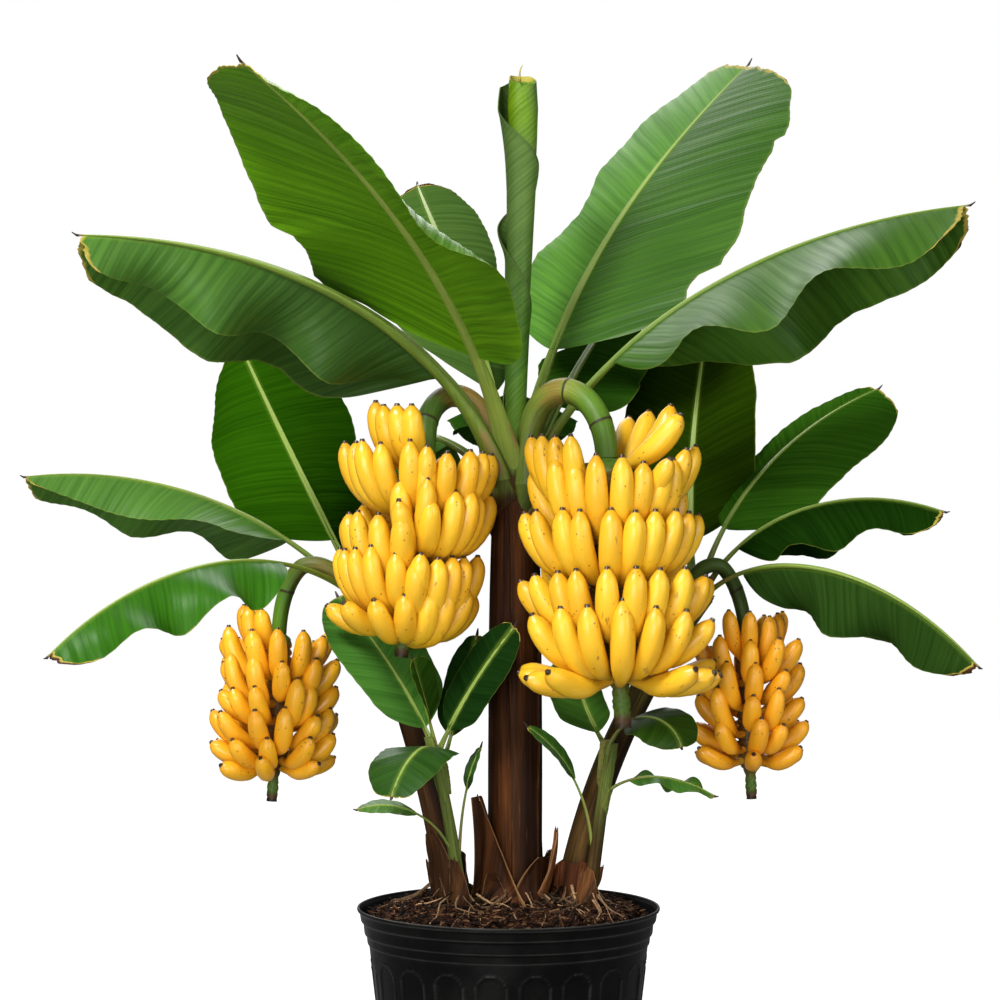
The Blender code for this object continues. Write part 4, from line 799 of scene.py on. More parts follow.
def spear_finish(name):
    """Rolled new leaf: pale bloom with slanting darker lines."""
    margin_green, straw = (0.055, 0.10, 0.02), (0.42, 0.36, 0.06)
    f = Finish(name, 0.50, 0.16)
    straight = f.read("straight")
    across, _, run = f.split(straight)
    edge, _, dry = f.split(f.read("mark"))
    vein, lines = f.veins(across, run, f.spots(straight, 12.0), 0.75, 0.006, 0.05)
    medium = f.spots(lines, 120.0, 2.0, 0.6)
    wide = f.spots(lines, 26.0, 1.0)
    ribs = f.sine(f.times(vein, TAU / 0.0088))
    tint = f.tint()
    deep = f.toned(tint, (0.62, 0.72, 0.66))
    pale = f.toned(tint, (1.25, 1.18, 1.40))
    colour = f.blend(f.step(f.sum(f.times(ribs, 0.30), f.times(medium, 0.85)), 0.35, 0.95), deep, pale)
    colour = f.blend(f.step(medium, 0.3, 0.7, 0.0, 0.6), colour, pale)
    colour = f.blend(f.step(wide, 0.3, 0.7, 0.45, 0.0), colour, tint)
    colour = f.blend(f.step(edge, 0.95, 0.995, 0.0, 0.7), colour, margin_green)
    colour = f.blend(f.step(f.sum(dry, f.times(f.spots(straight, 90.0), 0.4)), 0.7, 0.95), colour, straw)
    f.relief((ribs, 0.00012), (medium, 0.0004))
    return f.done(colour)


def fruit_finish(name):
    """Ripe banana skin: soft green at the neck, dark tip, faint ridges, freckles and rubbed marks."""
    neck_green, freckle = (0.20, 0.24, 0.025), (0.10, 0.035, 0.008)
    rubbed, end = (0.16, 0.06, 0.012), (0.030, 0.014, 0.006)
    f = Finish(name, 0.40, 0.50)
    straight = f.read("straight")
    share, _, green = f.split(f.read("mark"))
    tint = f.tint()
    cloud = f.streaks(straight, 45.0, 22.0, 2.0)
    skin = f.blend(f.step(cloud, 0.3, 0.75, 0.0, 0.6), tint, f.toned(tint, (0.90, 0.80, 0.55)))
    fibres = f.streaks(straight, 420.0, 16.0, 2.0)
    skin = f.blend(f.step(fibres, 0.55, 0.8, 0.0, 0.30), skin, f.toned(tint, (0.86, 0.72, 0.45)))
    # Darker and more orange towards the neck: partly the skin's own tone, partly painted shade where fingers
    # crowd
    skin = f.blend(f.step(share, 0.08, 0.30, 0.75, 0.0), skin, f.toned(tint, (0.72, 0.62, 0.6)))
    skin = f.blend(f.times(green, f.step(share, 0.02, 0.20, 0.85, 0.0)), skin, neck_green)
    skin = f.blend(f.step(share, 0.86, 0.95, 0.0, 0.55), skin, f.toned(tint, (0.80, 0.66, 0.4)))
    flecks = f.put("TexVoronoi", {"Vector": straight, "Scale": 130.0, "Randomness": 1.0})
    speck = f.times(f.step(flecks, 0.12, 0.24, 1.0, 0.0), f.step(f.spots(straight, 34.0), 0.54, 0.62))
    skin = f.blend(f.times(speck, 0.75), skin, freckle)
    bruise = f.streaks(straight, 70.0, 26.0, 3.0, 0.6)
    skin = f.blend(f.step(bruise, 0.67, 0.74, 0.0, 0.7), skin, rubbed)
    tip = f.sum(share, f.times(f.sum(f.spots(straight, 260.0), 0.5, "SUBTRACT"), 0.030))
    skin = f.blend(f.step(tip, 0.966, 0.980), skin, end)
    f.relief((fibres, 0.0003), (cloud, 0.0010))
    return f.done(skin, f.step(cloud, 0.3, 0.7, 0.30, 0.42))


def bark_finish(name):
    """Dry leaf sheaths of a stem: dark brown fibres with paler rubbed streaks, greener towards the top."""
    dark, rubbed, flaked = (0.010, 0.006, 0.004), (0.30, 0.17, 0.075), (0.30, 0.155, 0.065)
    f = Finish(name, 0.50, 0.08)
    straight = f.read("straight")
    _, green, flake = f.split(f.read("mark"))
    tint = f.tint()
    broad = f.streaks(straight, 34.0, 2.2, 3.0, 0.55, 0.3)
    fibres = f.streaks(straight, 330.0, 7.0, 4.0, 0.65)
    deep, light = f.toned(tint, (0.26, 0.22, 0.20)), f.toned(tint, (1.65, 1.50, 1.25))
    colour = f.blend(f.step(broad, 0.30, 0.66), deep, light)
    colour = f.blend(f.step(fibres, 0.35, 0.60, 0.62, 0.0), colour, dark)
    colour = f.blend(f.step(fibres, 0.62, 0.82, 0.0, 0.42), colour, rubbed)
    leafy = f.blend(f.step(fibres, 0.3, 0.7), (0.055, 0.085, 0.018), (0.15, 0.19, 0.035))
    colour = f.blend(f.step(f.sum(green, f.times(broad, 0.5)), 0.62, 0.95), colour, leafy)
    colour = f.blend(f.step(flake, 0.2, 1.0, 0.0, 0.75), colour, flaked)
    f.relief((broad, 0.003), (fibres, 0.0012))
    return f.done(colour, f.step(fibres, 0.3, 0.8, 0.48, 0.75))


def stalk_finish(name):
    """Fruit stalk: tan where it arches, green below, fine lengthwise lines and dark ring seams."""
    f = Finish(name, 0.40, 0.22)
    straight = f.read("straight")
    tan, seam, _ = f.split(f.read("mark"))
    tint = f.tint()
    lines = f.streaks(straight, 520.0, 12.0, 3.0, 0.6)
    cloud = f.streaks(straight, 60.0, 20.0, 2.0)
    deep, light = f.toned(tint, (0.80, 0.84, 0.76)), f.toned(tint, (1.16, 1.12, 1.16))
    colour = f.blend(f.step(lines, 0.3, 0.7), deep, light)
    brown = f.blend(f.step(lines, 0.3, 0.7), (0.17, 0.105, 0.022), (0.27, 0.185, 0.038))
    colour = f.blend(f.step(f.sum(tan, f.times(cloud, 0.9)), 0.75, 1.35, 0.0, 0.8), colour, brown)
    colour = f.blend(f.step(seam, 0.25, 0.9), colour, (0.030, 0.018, 0.008))
    f.relief((lines, 0.0006), (cloud, 0.0012))
    return f.done(colour)


def pot_finish(name):
    """Moulded black plastic, finely grained, dusty, rubbed up and down, with painted highlights on its edges.
    """
    black, dusty = (0.0011, 0.0012, 0.0011), (0.0034, 0.0035, 0.0031)
    rubbed, painted_highlight_grey = (0.010, 0.0105, 0.009), (0.055, 0.057, 0.051)
    f = Finish(name, 0.30, 0.10)
    worn = f.split(f.read("mark"))[0]
    place = f.put("TexCoord", {}, out=3)
    dust = f.spots(place, 14.0, 4.0, 0.6)
    grainy = f.spots(place, 900.0)
    rub = f.streaks(place, 160.0, 9.0, 4.0, 0.7)
    colour = f.blend(f.step(dust, 0.40, 0.75), black, dusty)
    colour = f.blend(f.step(rub, 0.60, 0.80, 0.0, 0.35), colour, rubbed)
    # Painted highlight: the rim's edges and the panels' outlines are lightened to grey, more where dusty
    colour = f.blend(f.times(worn, f.step(dust, 0.25, 0.65, 0.35, 1.0)), colour, painted_highlight_grey)
    f.relief((rub, 0.0003), (grainy, 0.00012))
    return f.done(colour, f.step(dust, 0.3, 0.8, 0.27, 0.46))


def crumb_finish(name, pale):
    """Bark mulch, roots and twigs: each piece in its own tint, with fibres."""
    f = Finish(name, 0.85, 0.10)
    place = f.put("TexCoord", {}, out=3)
    tint = f.tint()
    rough = f.spots(place, 240.0, 4.0, 0.7)
    colour = f.blend(f.step(rough, 0.30, 0.70), f.toned(tint, (0.45, 0.42, 0.40)), f.toned(tint, pale))
    f.relief((rough, 0.0012))
    return f.done(colour)


def slab(columns, rows):
    """Thin closed sheet made from a grid: v is -1 to 1 across, u 0 to 1 along, side 1 above and -1 below."""
    bm = bmesh.new()
    bmesh.ops.create_grid(bm, x_segments=columns, y_segments=rows, size=0.5)
    bmesh.ops.solidify(bm, geom=list(bm.faces), thickness=0.02)
    bmesh.ops.recalc_face_normals(bm, faces=bm.faces)
    sheet = Shape(bm)
    sheet.v = np.round(sheet.points[:, 0] * 2, 6)
    sheet.u = np.clip(sheet.points[:, 1] + 0.5, 0, 1)
    middle = (sheet.points[:, 2].min() + sheet.points[:, 2].max()) / 2
    sheet.side = np.where(sheet.points[:, 2] > middle, 1.0, -1.0)
    starts = np.concatenate([[0], np.cumsum(sheet.sizes)[:-1]])
    sheet.upper = np.minimum.reduceat(sheet.side[sheet.corners], starts) > 0
    return sheet


def margin(t, base, tip, blunt):
    """Share of the half width at each share of the blade: round at the base, blunt at the tip."""
    opening = np.sin(np.pi / 2 * np.clip(t / base, 0, 1)) ** 0.75
    closing = np.clip((t - tip) / (1 - tip), 0, None)
    return opening * (1 - (1 - blunt) * closing**2.2)


def by_half(size, key, v, t):
    """Share from a leaf's two tables, the first for the half on its left and the second for the other."""
    share = np.ones(len(v))
    for half, table in zip((1, -1), size.get(key, ())):
        share = np.where(np.sign(v) == half, along(table, t), share)
    return share


def blade_offsets(size, v, t, width):
    """Offsets of a blade across and above its rib, its tilt, and the way out from the rib on its surface."""
    which = (v < 0).astype(int)
    keys = ("half", "fold", "curl", "wave", "waves", "phase")
    half, fold, curl, wave, waves, phase = (np.asarray(size.get(key, (0, 0)), float)[which] for key in keys)
    start = np.radians(fold)
    turn = np.radians(curl)
    turn = np.where(np.abs(turn) < 1e-3, 1e-3, turn)
    full = half * width
    share = np.abs(v)
    angle = start + turn * share
    across = full * (np.sin(angle) - np.sin(start)) / turn
    above = full * (np.cos(start) - np.cos(angle)) / turn
    fade = np.sqrt(np.clip(np.sin(np.pi * t), 0, 1))
    swell = wave * share**1.5 * fade * np.sin(TAU * waves * t + np.radians(phase))
    return across - np.sin(angle) * swell, above + np.cos(angle) * swell, angle, full * share


def leaf_limb(size):
    """Course of a leaf's stalk and rib."""
    root = on_stem(size["stem"], size["share"], size["head"][0], LEAF_INSET)
    return dict(root=root, length=sum(size["length"]), head=size["head"], rise=size["rise"], bow=size["bow"])


def leaf_sides(size, limb, shares):
    """Place, left side and upper side of a leaf, which rolls from its petiole's end on."""
    petiole, blade = size["length"]
    place, _, side, up = frames(**limb, shares=shares)
    t = np.clip((shares * limb["length"] - petiole) / blade, 0, 1)
    return place, *turned(side, up, np.radians(size["roll"][0] + size["roll"][1] * t))


def build_leaf(name, size, seed, finishes):
    """Stalk, rib and blade of one leaf: a thin pleated sheet with a worn margin and a torn tip."""
    petiole, blade = size["length"]
    limb = leaf_limb(size)
    rows = max(24, round(blade / ROW))
    columns = 2 * max(7, min(26, round(sum(size["half"]) / 2 / COLUMN)))
    sheet = slab(columns, rows)
    v, u = sheet.v, sheet.u
    far = np.abs(v)
    side = np.where(v < 0, -1.0, 1.0)
    rag = grain((v, 0, 0), (5.0, 1, 1), seed) * 0.6
    rag += grain((v, 0, 0), (17.0, 1, 1), seed + 7) * 0.4
    end = 1 - 0.012 * (1 + rag * 1.4) - 0.030 * far**5
    t = np.where(u < 0.8, u, 0.8 + (u - 0.8) * (end - 0.8) / 0.2)
    t = 0.004 + t * 0.996
    run = petiole + blade * t
    nibble = grain((np.sign(v), t * blade, 0), (3.0, 30.0, 1), seed + 3)
    width = margin(t, *size["shape"]) * (1 + 0.018 * nibble * far**3) * by_half(size, "trim", v, t)
    across, above, angle, away = blade_offsets(size, v, t, width)
    vein = run - VEIN_LEAN * away
    drift = grain((vein, away * side, 0), (9.0, 6.0, 1), seed + 5)
    pleats = 0.0005 * np.sin(TAU * vein / 0.021 + 2.2 * drift)
    pleats += 0.0009 * grain((vein, away * 0.06 * side, 0), (52.0, 52.0, 1), seed + 11)
    ripple = 0.0034 * grain((run, side, 0), (13.0, 3.0, 1), seed + 13) * (far**4 * ease(0.0, 0.12, t))
    swell = pleats * ease(0.0, 0.18, far) + ripple + 0.006 * drift * far
    across = across - np.sin(angle) * swell
    above = above + np.cos(angle) * swell
    rib_top = size["stalk"] * 0.08 * (1 - t) ** 0.8 * (1 - ease(0.0, 0.10, far))
    place, s, n = leaf_sides(size, limb, run / limb["length"])
    face = -np.sin(angle)[:, None] * s * side[:, None] + np.cos(angle)[:, None] * n
    thin = SHEET * (1 - 0.6 * far**6) / 2
    points = place + s * (across * side)[:, None] + n * (above + rib_top)[:, None]
    points = points + face * (thin * sheet.side)[:, None]
    dry = 0.85 * ease(0.965, 1.0, t / end) + 0.55 * ease(0.90, 1.0, far) * ease(0.80, 1.0, t)
    dry = dry + 0.42 * ease(0.975, 1.0, far) * ease(0.05, 0.45, nibble)
    dry = dry * size.get("dry", 0.62)
    # Painted light and shade: each half lightened or darkened along the blade by its table, times the dim
    # factor
    painted_light_and_shade = size.get("dim", 1.0) * by_half(size, "painted_light_and_shade", v, t)
    tint = np.asarray(size["colour"]) * painted_light_and_shade[:, None]
    straight = rows_of(away * side, sheet.side * SHEET, run)
    heap = Heap()
    heap.add(sheet, points, straight, (far, 0, dry), tint, np.where(sheet.upper, 0, 1))
    add_rib(heap, size, limb, seed)
    heap.make("blade_" + name, finishes, "leaf", ["leaf_" + name], 50)


def add_rib(heap, size, limb, seed):
    """Channelled leaf stalk that runs on as the rib under the blade and ends in a small hook."""
    petiole, blade = size["length"]
    length = limb["length"]
    hook = size.get("hook", 0.006)
    steps = [petiole * s for s in np.linspace(0, 1, max(12, round(petiole / 0.006)))[:-1]]
    steps += [petiole + blade * s for s in np.linspace(0, 1.0, max(16, round(blade / 0.010)))]
    steps += [length + hook * s for s in (0.35, 0.7, 1.0)]
    rod = unit_rod(20, np.array(steps) / length)
    run = rod.share * length
    t = np.clip((run - petiole) / blade, 0, 1)
    wide = size["stalk"] * (1 - 0.35 * np.clip(run / petiole, 0, 1))
    on_blade = size["stalk"] * 0.66 * (1 - t) ** 0.85 + 0.0012
    wide = wide + (on_blade - wide) * ease(-0.03, 0.16, (run - petiole) / blade)
    more, reach = size.get("sheath", (0.75, 0.030))
    broad = 1 + more * np.exp(-run / reach)
    past = np.clip((run - length) / hook, 0, 1)
    wide = wide * np.where(run > length - 0.004, 2.1 - 1.2 * past, 1.0)
    wide = wide * (1 + 0.03 * grain((run, 0, 0), (16.0, 1, 1), seed))
    up = np.sin(rod.turn)
    dip = 1 - (1.12 - 0.60 * ease(0.0, 0.12, t)) * bell(rod.turn, np.pi / 2, 0.60)
    x = wide * broad * np.cos(rod.turn)
    deep = wide * (0.65 + 0.35 * broad) * up
    z = np.where(up > 0, deep * dip * 0.85, deep * 0.86)
    points = wrapped(rod, *leaf_sides(size, limb, rod.levels), x, z)
    points[:, 2] += 0.6 * np.clip(run - length, 0, None)
    foot = 1 - ease(0.0, 0.10, run)
    torn = grain((run, np.sign(x), 0), (40.0, 2.0, 1), seed + 2) * 0.5 + 0.5
    torn = torn * 0.5 * ease(0.80, 0.98, np.abs(np.cos(rod.turn))) * (1 - ease(0.05, 0.20, run))
    heap.add(rod, points, rows_of(x, np.where(up > 0, 0.006 * up, -0.002), run),
             (t, foot, np.maximum(torn, ease(0.985, 1.0, t))), size.get("rib", (0.125, 0.195, 0.022)), 2)


def stalk_limbs(name):
    """Root, heading, rise, bow and length of a fruit stalk's two limbs, and where it ends."""
    size = STALKS[name]
    heads, rises = size["heads"], size["rises"]
    root = on_stem(size["stem"], size["share"], heads[0], size["inset"])
    first = dict(root=root, length=size["lengths"][0], head=heads[:2], rise=rises[:2], bow=size["bows"][0])
    ahead = frames(**first, shares=[1.0])[1][0]
    top = course(**first)[-1] + ahead * GAP
    second = dict(root=top, length=size["lengths"][1], head=heads[1:], rise=rises[1:], bow=size["bows"][1])
    return first, second, course(**second)[-1]


def stride(rise, bow):
    """How far and how high a finger gets for each metre of its length."""
    share = (np.arange(60) + 0.5) / 60
    lift = np.radians(rise[0] + (rise[1] - rise[0]) * share**bow)
    return np.cos(lift).mean(), np.sin(lift).mean()


def fingers(size, end):
    """Course and radius of every finger of a bunch, row by row round the stem that hangs on from this end.

    Each finger ends where its solid ends, but leaves the stem lower down, on a neck that bends up sooner.
    """
    dice = np.random.default_rng(size["seed"])
    wild = size["wild"]
    for drop, middle, fan, count, length, radius, lift, tip_middle, tip_side in size["rows"]:
        share = drop / size["length"]
        centre = frames(end, size["length"], (size["head"],) * 2, size["rise"], 1.0, [share])[0][0]
        hub = min(size["hub"], float(along(size["radii"], share)) * 0.86 - 0.002)
        count = round(count * size["more"])
        for k in range(count):
            place = (2 * k / (count - 1) - 1) if count > 1 else 0.0
            luck = dice.uniform(-1, 1, 5)
            angle = middle - place * fan / 2 + 3 * wild * luck[0]
            tip = tip_middle + (tip_side - tip_middle) * place**2 + 5 * wild * luck[1]
            long = length * (1 + 0.05 * wild * luck[2])
            far, high = (long * part for part in stride((lift, tip), size["bow"]))
            rise = (lift - FINGER_DIP + 4 * luck[4], tip)
            ahead, climb = stride(rise, FINGER_BOW)
            start = hub * HUB_SHARE
            grown = min((hub + far - start) / ahead, 1.38 * long)
            root = centre + start * outward(math.radians(angle)) + (0, 0, high - grown * climb)
            head = (angle, angle - 9 * place + 7 * luck[3])
            thick = radius * size["slim"] * (1 + 0.05 * luck[0])
            yield dict(root=root, length=grown, head=head, rise=rise, bow=FINGER_BOW), thick


def build_bunch(name, skin, wood):
    """A bunch: its stem and every finger, each with five soft ridges, a neck and a short dark end."""
    size = BUNCHES[name]
    end = stalk_limbs(name)[2]
    heap = Heap()
    dice = np.random.default_rng(size["seed"] + 500)
    rod = unit_rod(15, FINGER_LEVELS)
    taper = along(FINGER_TAPER, rod.share)
    tip = ease(0.90, 0.97, rod.share)
    for k, (finger, radius) in enumerate(fingers(size, end)):
        luck = dice.uniform(-1, 1, 8)
        phase = dice.uniform(0, TAU)
        ridge = 1 + 0.032 * np.cos(5 * rod.turn + phase) * (1 - tip)
        dent = 1 + 0.02 * luck[0] * np.cos(rod.turn + phase) * np.sin(np.pi * rod.share)
        points, straight = bend(rod, finger, radius * taper * ridge * dent)
        tint = np.array(size["skin"]) * (1 + np.array([0.05, 0.10, 0.20]) * luck[1])
        mark = (rod.share, 0, size["green"] * (0.5 + 0.5 * luck[3]))
        heap.add(rod, points, straight + (0, 0, 3.7 * k), mark, tint)
    core = unit_rod(24, np.linspace(0, 1, 90))
    limb = dict(root=end, length=size["length"], head=(size["head"],) * 2, rise=size["rise"], bow=1.0)
    free = ease(0.86, 0.92, core.share) + 1 - ease(0.0, 0.06, core.share)
    slim = size["radii"][-1][1] * 1.12
    thick = np.minimum(along(size["radii"], core.share),
                       slim + (size["core"] - slim) * (1 - ease(0.74, 0.86, core.share)))
    thick = thick * (0.92 + 0.08 * np.clip(free, 0, 1))
    scar = np.abs(np.sin(core.share * size["length"] / 0.011 * np.pi + 2 * np.sin(core.turn)))
    thick = thick * (1 - 0.13 * scar**6) * (1 + 0.09 * grain(core.points * (1, 1, 0.25), 2.4, size["seed"]))
    points, straight = bend(core, limb, thick)
    # Painted shade: the bunch's stem is brown where it hides among the fingers, for the shade between them;
    # green at both ends and dark at its cut end
    brown = np.array((0.11, 0.055, 0.010))
    green = np.array((0.070, 0.140, 0.014))
    dark = np.array((0.070, 0.034, 0.014))
    ends = ease(0.80, 0.90, core.share) + (1 - ease(0.02, 0.08, core.share))
    tint = brown + (green - brown) * np.clip(ends, 0, 1)[:, None]
    tint = tint + (dark - tint) * ease(0.93, 0.97, core.share)[:, None]
    mark = (0.1, scar**8 * 0.7 + ease(0.975, 0.99, core.share), 0)
    heap.add(core, points, straight, mark, tint, 1)
    heap.make("fruit_" + name, [skin, wood], "fruit", ["bunch_" + name], 60)


def build_stalk(name, finish):
    """Arching fruit stalk in one run over its two limbs."""
    size = STALKS[name]
    first, second, _ = stalk_limbs(name)
    wide, top, low = size["radii"]
    shares = np.linspace(0, 1, 56)
    buried = np.linspace(-0.045, -0.002, 9)
    runs = ((first, 0 * buried), (first, shares), (second, shares))
    lines = [frames(**limb, shares=part) for limb, part in runs]
    place, ahead, side, up = (np.concatenate(part) for part in zip(*lines))
    inward = stem_place(size["stem"], size["share"])[0] - first["root"]
    inward /= np.linalg.norm(inward)
    place[:9] += ahead[:9] * buried[:, None] - inward * (0.30 * buried)[:, None]
    rod = unit_rod(36, np.linspace(0, 1, len(place)))
    run = np.concatenate([buried, shares * first["length"], first["length"] + shares * second["length"]])
    thick = [wide * (1 + 9 * buried), wide + (top - wide) * shares, top + (low - top) * shares]
    reach = run[rod.ring]
    seam = sum(bell(reach - spot, 0.002 * np.sin(rod.turn + spot * 90), 0.0027) for spot in size["seams"])
    x, z = np.cos(rod.turn), np.sin(rod.turn)
    fibre = grain((x * 5, z * 5, reach * 6), 1.0, wide * 900)
    swell = 0.035 * fibre + 0.045 * seam + 0.12 * np.exp(-np.abs(reach) / 0.02)
    thick = np.concatenate(thick)[rod.ring] * (1 + swell)
    points = wrapped(rod, place, side, up, thick * x, thick * z)
    share = reach / run[-1]
    tint = rows_of(*(along([(s, c[k]) for s, c in size["hues"]], share) for k in range(3)))
    # Painted shade: darker on the stalk's lower side, the side that faces down where it arches over
    tint = tint * (1 - 0.5 * ease(0.1, 1.0, -z))[:, None]
    straight = rows_of(thick * x, thick * z, reach)
    heap = Heap()
    heap.add(rod, points, straight, (along(size["tan"], share), seam, 0), tint)
    heap.make("stalk_" + name, [finish], "stalk", [f"stalk_{name}_rising", f"stalk_{name}_hanging"], 60)


def build_stem(name, finish, green, colour):
    """Stem of wrapped leaf sheaths, with the sheaths of its leaves and its dry ends round the foot."""
    size = STEMS[name]
    main = name == "main"
    limb = dict(stem_limb(name), root=(*size["foot"], SOIL_TOP - SUNK), length=size["length"] + SUNK)
    rod = unit_rod(168 if main else 84, np.linspace(0, 1, 260 if main else 150))
    tall = rod.share * limb["length"]
    theta = rod.turn + math.pi / 2 + math.radians(size["head"])
    radius = along(size["radii"], rod.share)
    lift = np.zeros(len(radius))
    line = np.zeros(len(radius))
    sway = 0.10 * grain((tall, 0, 0), (7.0, 1, 1), 3)
    for angle, drift in SEAMS[name]:
        gap = (theta - math.radians(angle) - math.radians(drift) * tall + sway + np.pi) % TAU - np.pi
        lift = np.maximum(lift, ease(-0.03, 0.03, gap) * np.exp(-np.clip(gap, 0, None) / 0.9))
        line = np.maximum(line, bell(gap, 0.04, 0.030))
    spread = 2.2 * radius[0] / 0.04
    fibre = grain((np.cos(theta) * 14 * spread, np.sin(theta) * 14 * spread, tall * 3), 1.0, 1.5)
    broad = grain((np.cos(theta) * 3, np.sin(theta) * 3, tall * 5), 1.0, 9.5)
    step = 0.075 if main else 0.11
    radius = radius * (1 + step * (lift - 0.45) + 0.022 * fibre + 0.030 * broad)
    points, straight = bend(rod, limb, radius * (1 + 0.10 * np.exp(-tall / 0.02)))
    # Painted shade: the stem darkens towards its left and right sides and is 1.15 times brighter between them
    beside = np.cos(theta + 0.25 * broad)
    painted_light_and_shade = 1 - 0.70 * ease(0.20, 0.95, beside) - 0.60 * ease(0.60, 0.98, -beside)
    worn = line * ease(0.1, 0.5, grain((tall, theta, 0), (9.0, 1, 1), 2) + 0.6)
    heap = Heap()
    tint = np.array(colour) * (1.15 * painted_light_and_shade)[:, None]
    heap.add(rod, points, straight, (0, along(green, rod.share), 0.5 * worn), tint)
    add_wraps(heap, name)
    for make, table in ((add_flap, FLAPS), (add_husk, HUSKS)):
        for row in table:
            if row[0] == name:
                make(heap, *row)
    slot = "green_stem" if "sucker" in name else "brown_stem"
    heap.make("trunk_" + name, [finish], slot, ["stem_" + name], 50)


def add_wraps(heap, stem):
    """Sheath of every leaf, widening down and round the stem below the leaf's root."""
    tall = STEMS[stem]["length"]
    levels = np.linspace(0, 1, 34)
    for k, size in enumerate(LEAVES.values()):
        if size["stem"] != stem or size["share"] < 0.5:
            continue
        radius = stem_place(stem, size["share"])[1]
        rod = unit_rod(28, levels)
        deep = (0.055 + 0.018 * (k % 4)) * (1.0 if stem == "main" else 0.8)
        share = size["share"] + (WRAP_TOP - rod.share * deep) / tall
        half = (size["stalk"] * 1.55 / radius) * (1 + 1.1 * ease(0.0, 1.0, rod.share))
        half = half * (1 - 0.9 * ease(0.60, 1.0, rod.share))
        angle = math.radians(size["head"][0]) + half * np.cos(rod.turn)
        places = [stem_place(stem, s) for s in size["share"] + (WRAP_TOP - levels * deep) / tall]
        centre = np.array([p for p, r in places])[rod.ring]
        bare = np.array([r for p, r in places])[rod.ring]
        lap = (0.0060 - 0.0012 * (k % 3)) * (1 - rod.share) ** 0.6 + 0.0012
        out = bare - 0.003 + (lap + 0.003) * np.clip(np.sin(rod.turn) * 3, -1, 1)
        out = out + 0.0007 * grain((angle * 20, share * 4, 0), 1.0, k)
        edge = ease(0.80, 0.99, np.abs(np.cos(rod.turn)))
        leafy = 0.8 if "sucker" in stem else 1.05 - 1.0 * rod.share
        heap.add(rod, centre + out[:, None] * outward(angle), rows_of(angle * radius, 0, share * tall),
                 (0, leafy, edge * 0.55), (0.050, 0.030, 0.010))


def add_flap(heap, stem, angle, off, length, half, rise, lean, roll, curl, tint):
    """Dry torn end of a sheath, cupped round the stem's foot."""
    root = stem_place(stem, 0.0)[0] + off * outward(math.radians(angle)) - (0, 0, SUNK)
    sheet = slab(18, 64)
    v, u = sheet.v, sheet.u
    seed = angle + off * 1000
    torn = grain((v * 3, 0, 0), 1.0, seed)
    t = u * (1 - 0.16 * (1 + torn) * ease(0.5, 1.0, u))
    width = along([(0, 1.0), (.3, 1.05), (.6, .78), (.85, .42), (1, .12)], t)
    width = width * (1 + 0.10 * grain((t * 6, np.sign(v), 0), 1.0, seed + 4) * np.abs(v))
    bow = math.radians(curl) * (1 - 0.2 * t)
    wide = half * width
    across = wide * np.sin(bow * v) / bow
    above = wide * (1 - np.cos(bow * v)) / bow
    above = above + 0.0016 * grain((v * 3, t * 5, 0), 1.0, seed + 8)
    place, _, side, up = frames(root, length, (angle + lean, angle - lean), rise, 1.0, t)
    s, n = turned(side, up, np.radians(roll[0] + (roll[1] - roll[0]) * t))
    face = -np.sin(bow * v)[:, None] * s + np.cos(bow * v)[:, None] * n
    points = place + s * across[:, None] + n * above[:, None] + face * (0.0009 * sheet.side)[:, None]
    edge = ease(0.78, 0.98, np.abs(v)) * 0.9 + ease(0.8, 1.0, t) * 0.4
    heap.add(sheet, points, rows_of(wide * v, sheet.side * 0.002, t * length), (0, 0, edge), tint)


def add_husk(heap, stem, first, last, height, off, blunt, lean, tint):
    """Dry sheath that hugs the stem's foot. One margin stays upright, the other runs down round the stem."""
    size = STEMS[stem]
    sheet = slab(44, 52)
    v, u = sheet.v, sheet.u
    seed = first + last * 0.37
    worn = grain((v * 2.5, 0, 0), 1.0, seed)
    t = u * (1 - 0.10 * (1 + worn) * ease(0.6, 1.0, u))
    span = math.radians(last - first)
    part = np.clip(1 - t**blunt, 0, 1) ** 0.8 + 0.11
    angle = math.radians(first) + span * (1 - part) * lean + span * part * (v + 1) / 2
    shares = (t * height - SUNK) / size["length"]
    place = frames(**stem_limb(stem), shares=np.clip(shares, 0, 1))[0]
    wide = along(size["radii"], shares) * 1.04
    peel = off * (0.35 + 0.9 * t**1.5 + 0.5 * ease(0.7, 1.0, np.abs(v)) + 0.7 * np.exp(-t * 9))
    peel = peel + 0.0014 * grain((angle * 5, t * 4, 0), 1.0, seed + 2)
    points = place + outward(angle) * (wide + peel + HUSK * sheet.side)[:, None]
    points[:, 2] += np.where(shares < 0, shares * size["length"], 0)
    edge = ease(0.86, 1.0, np.abs(v)) * 0.9 + ease(0.90, 1.0, t) * 0.7
    heap.add(sheet, points, rows_of(angle * wide, sheet.side * 0.002, t * height), (0, 0, edge), tint)


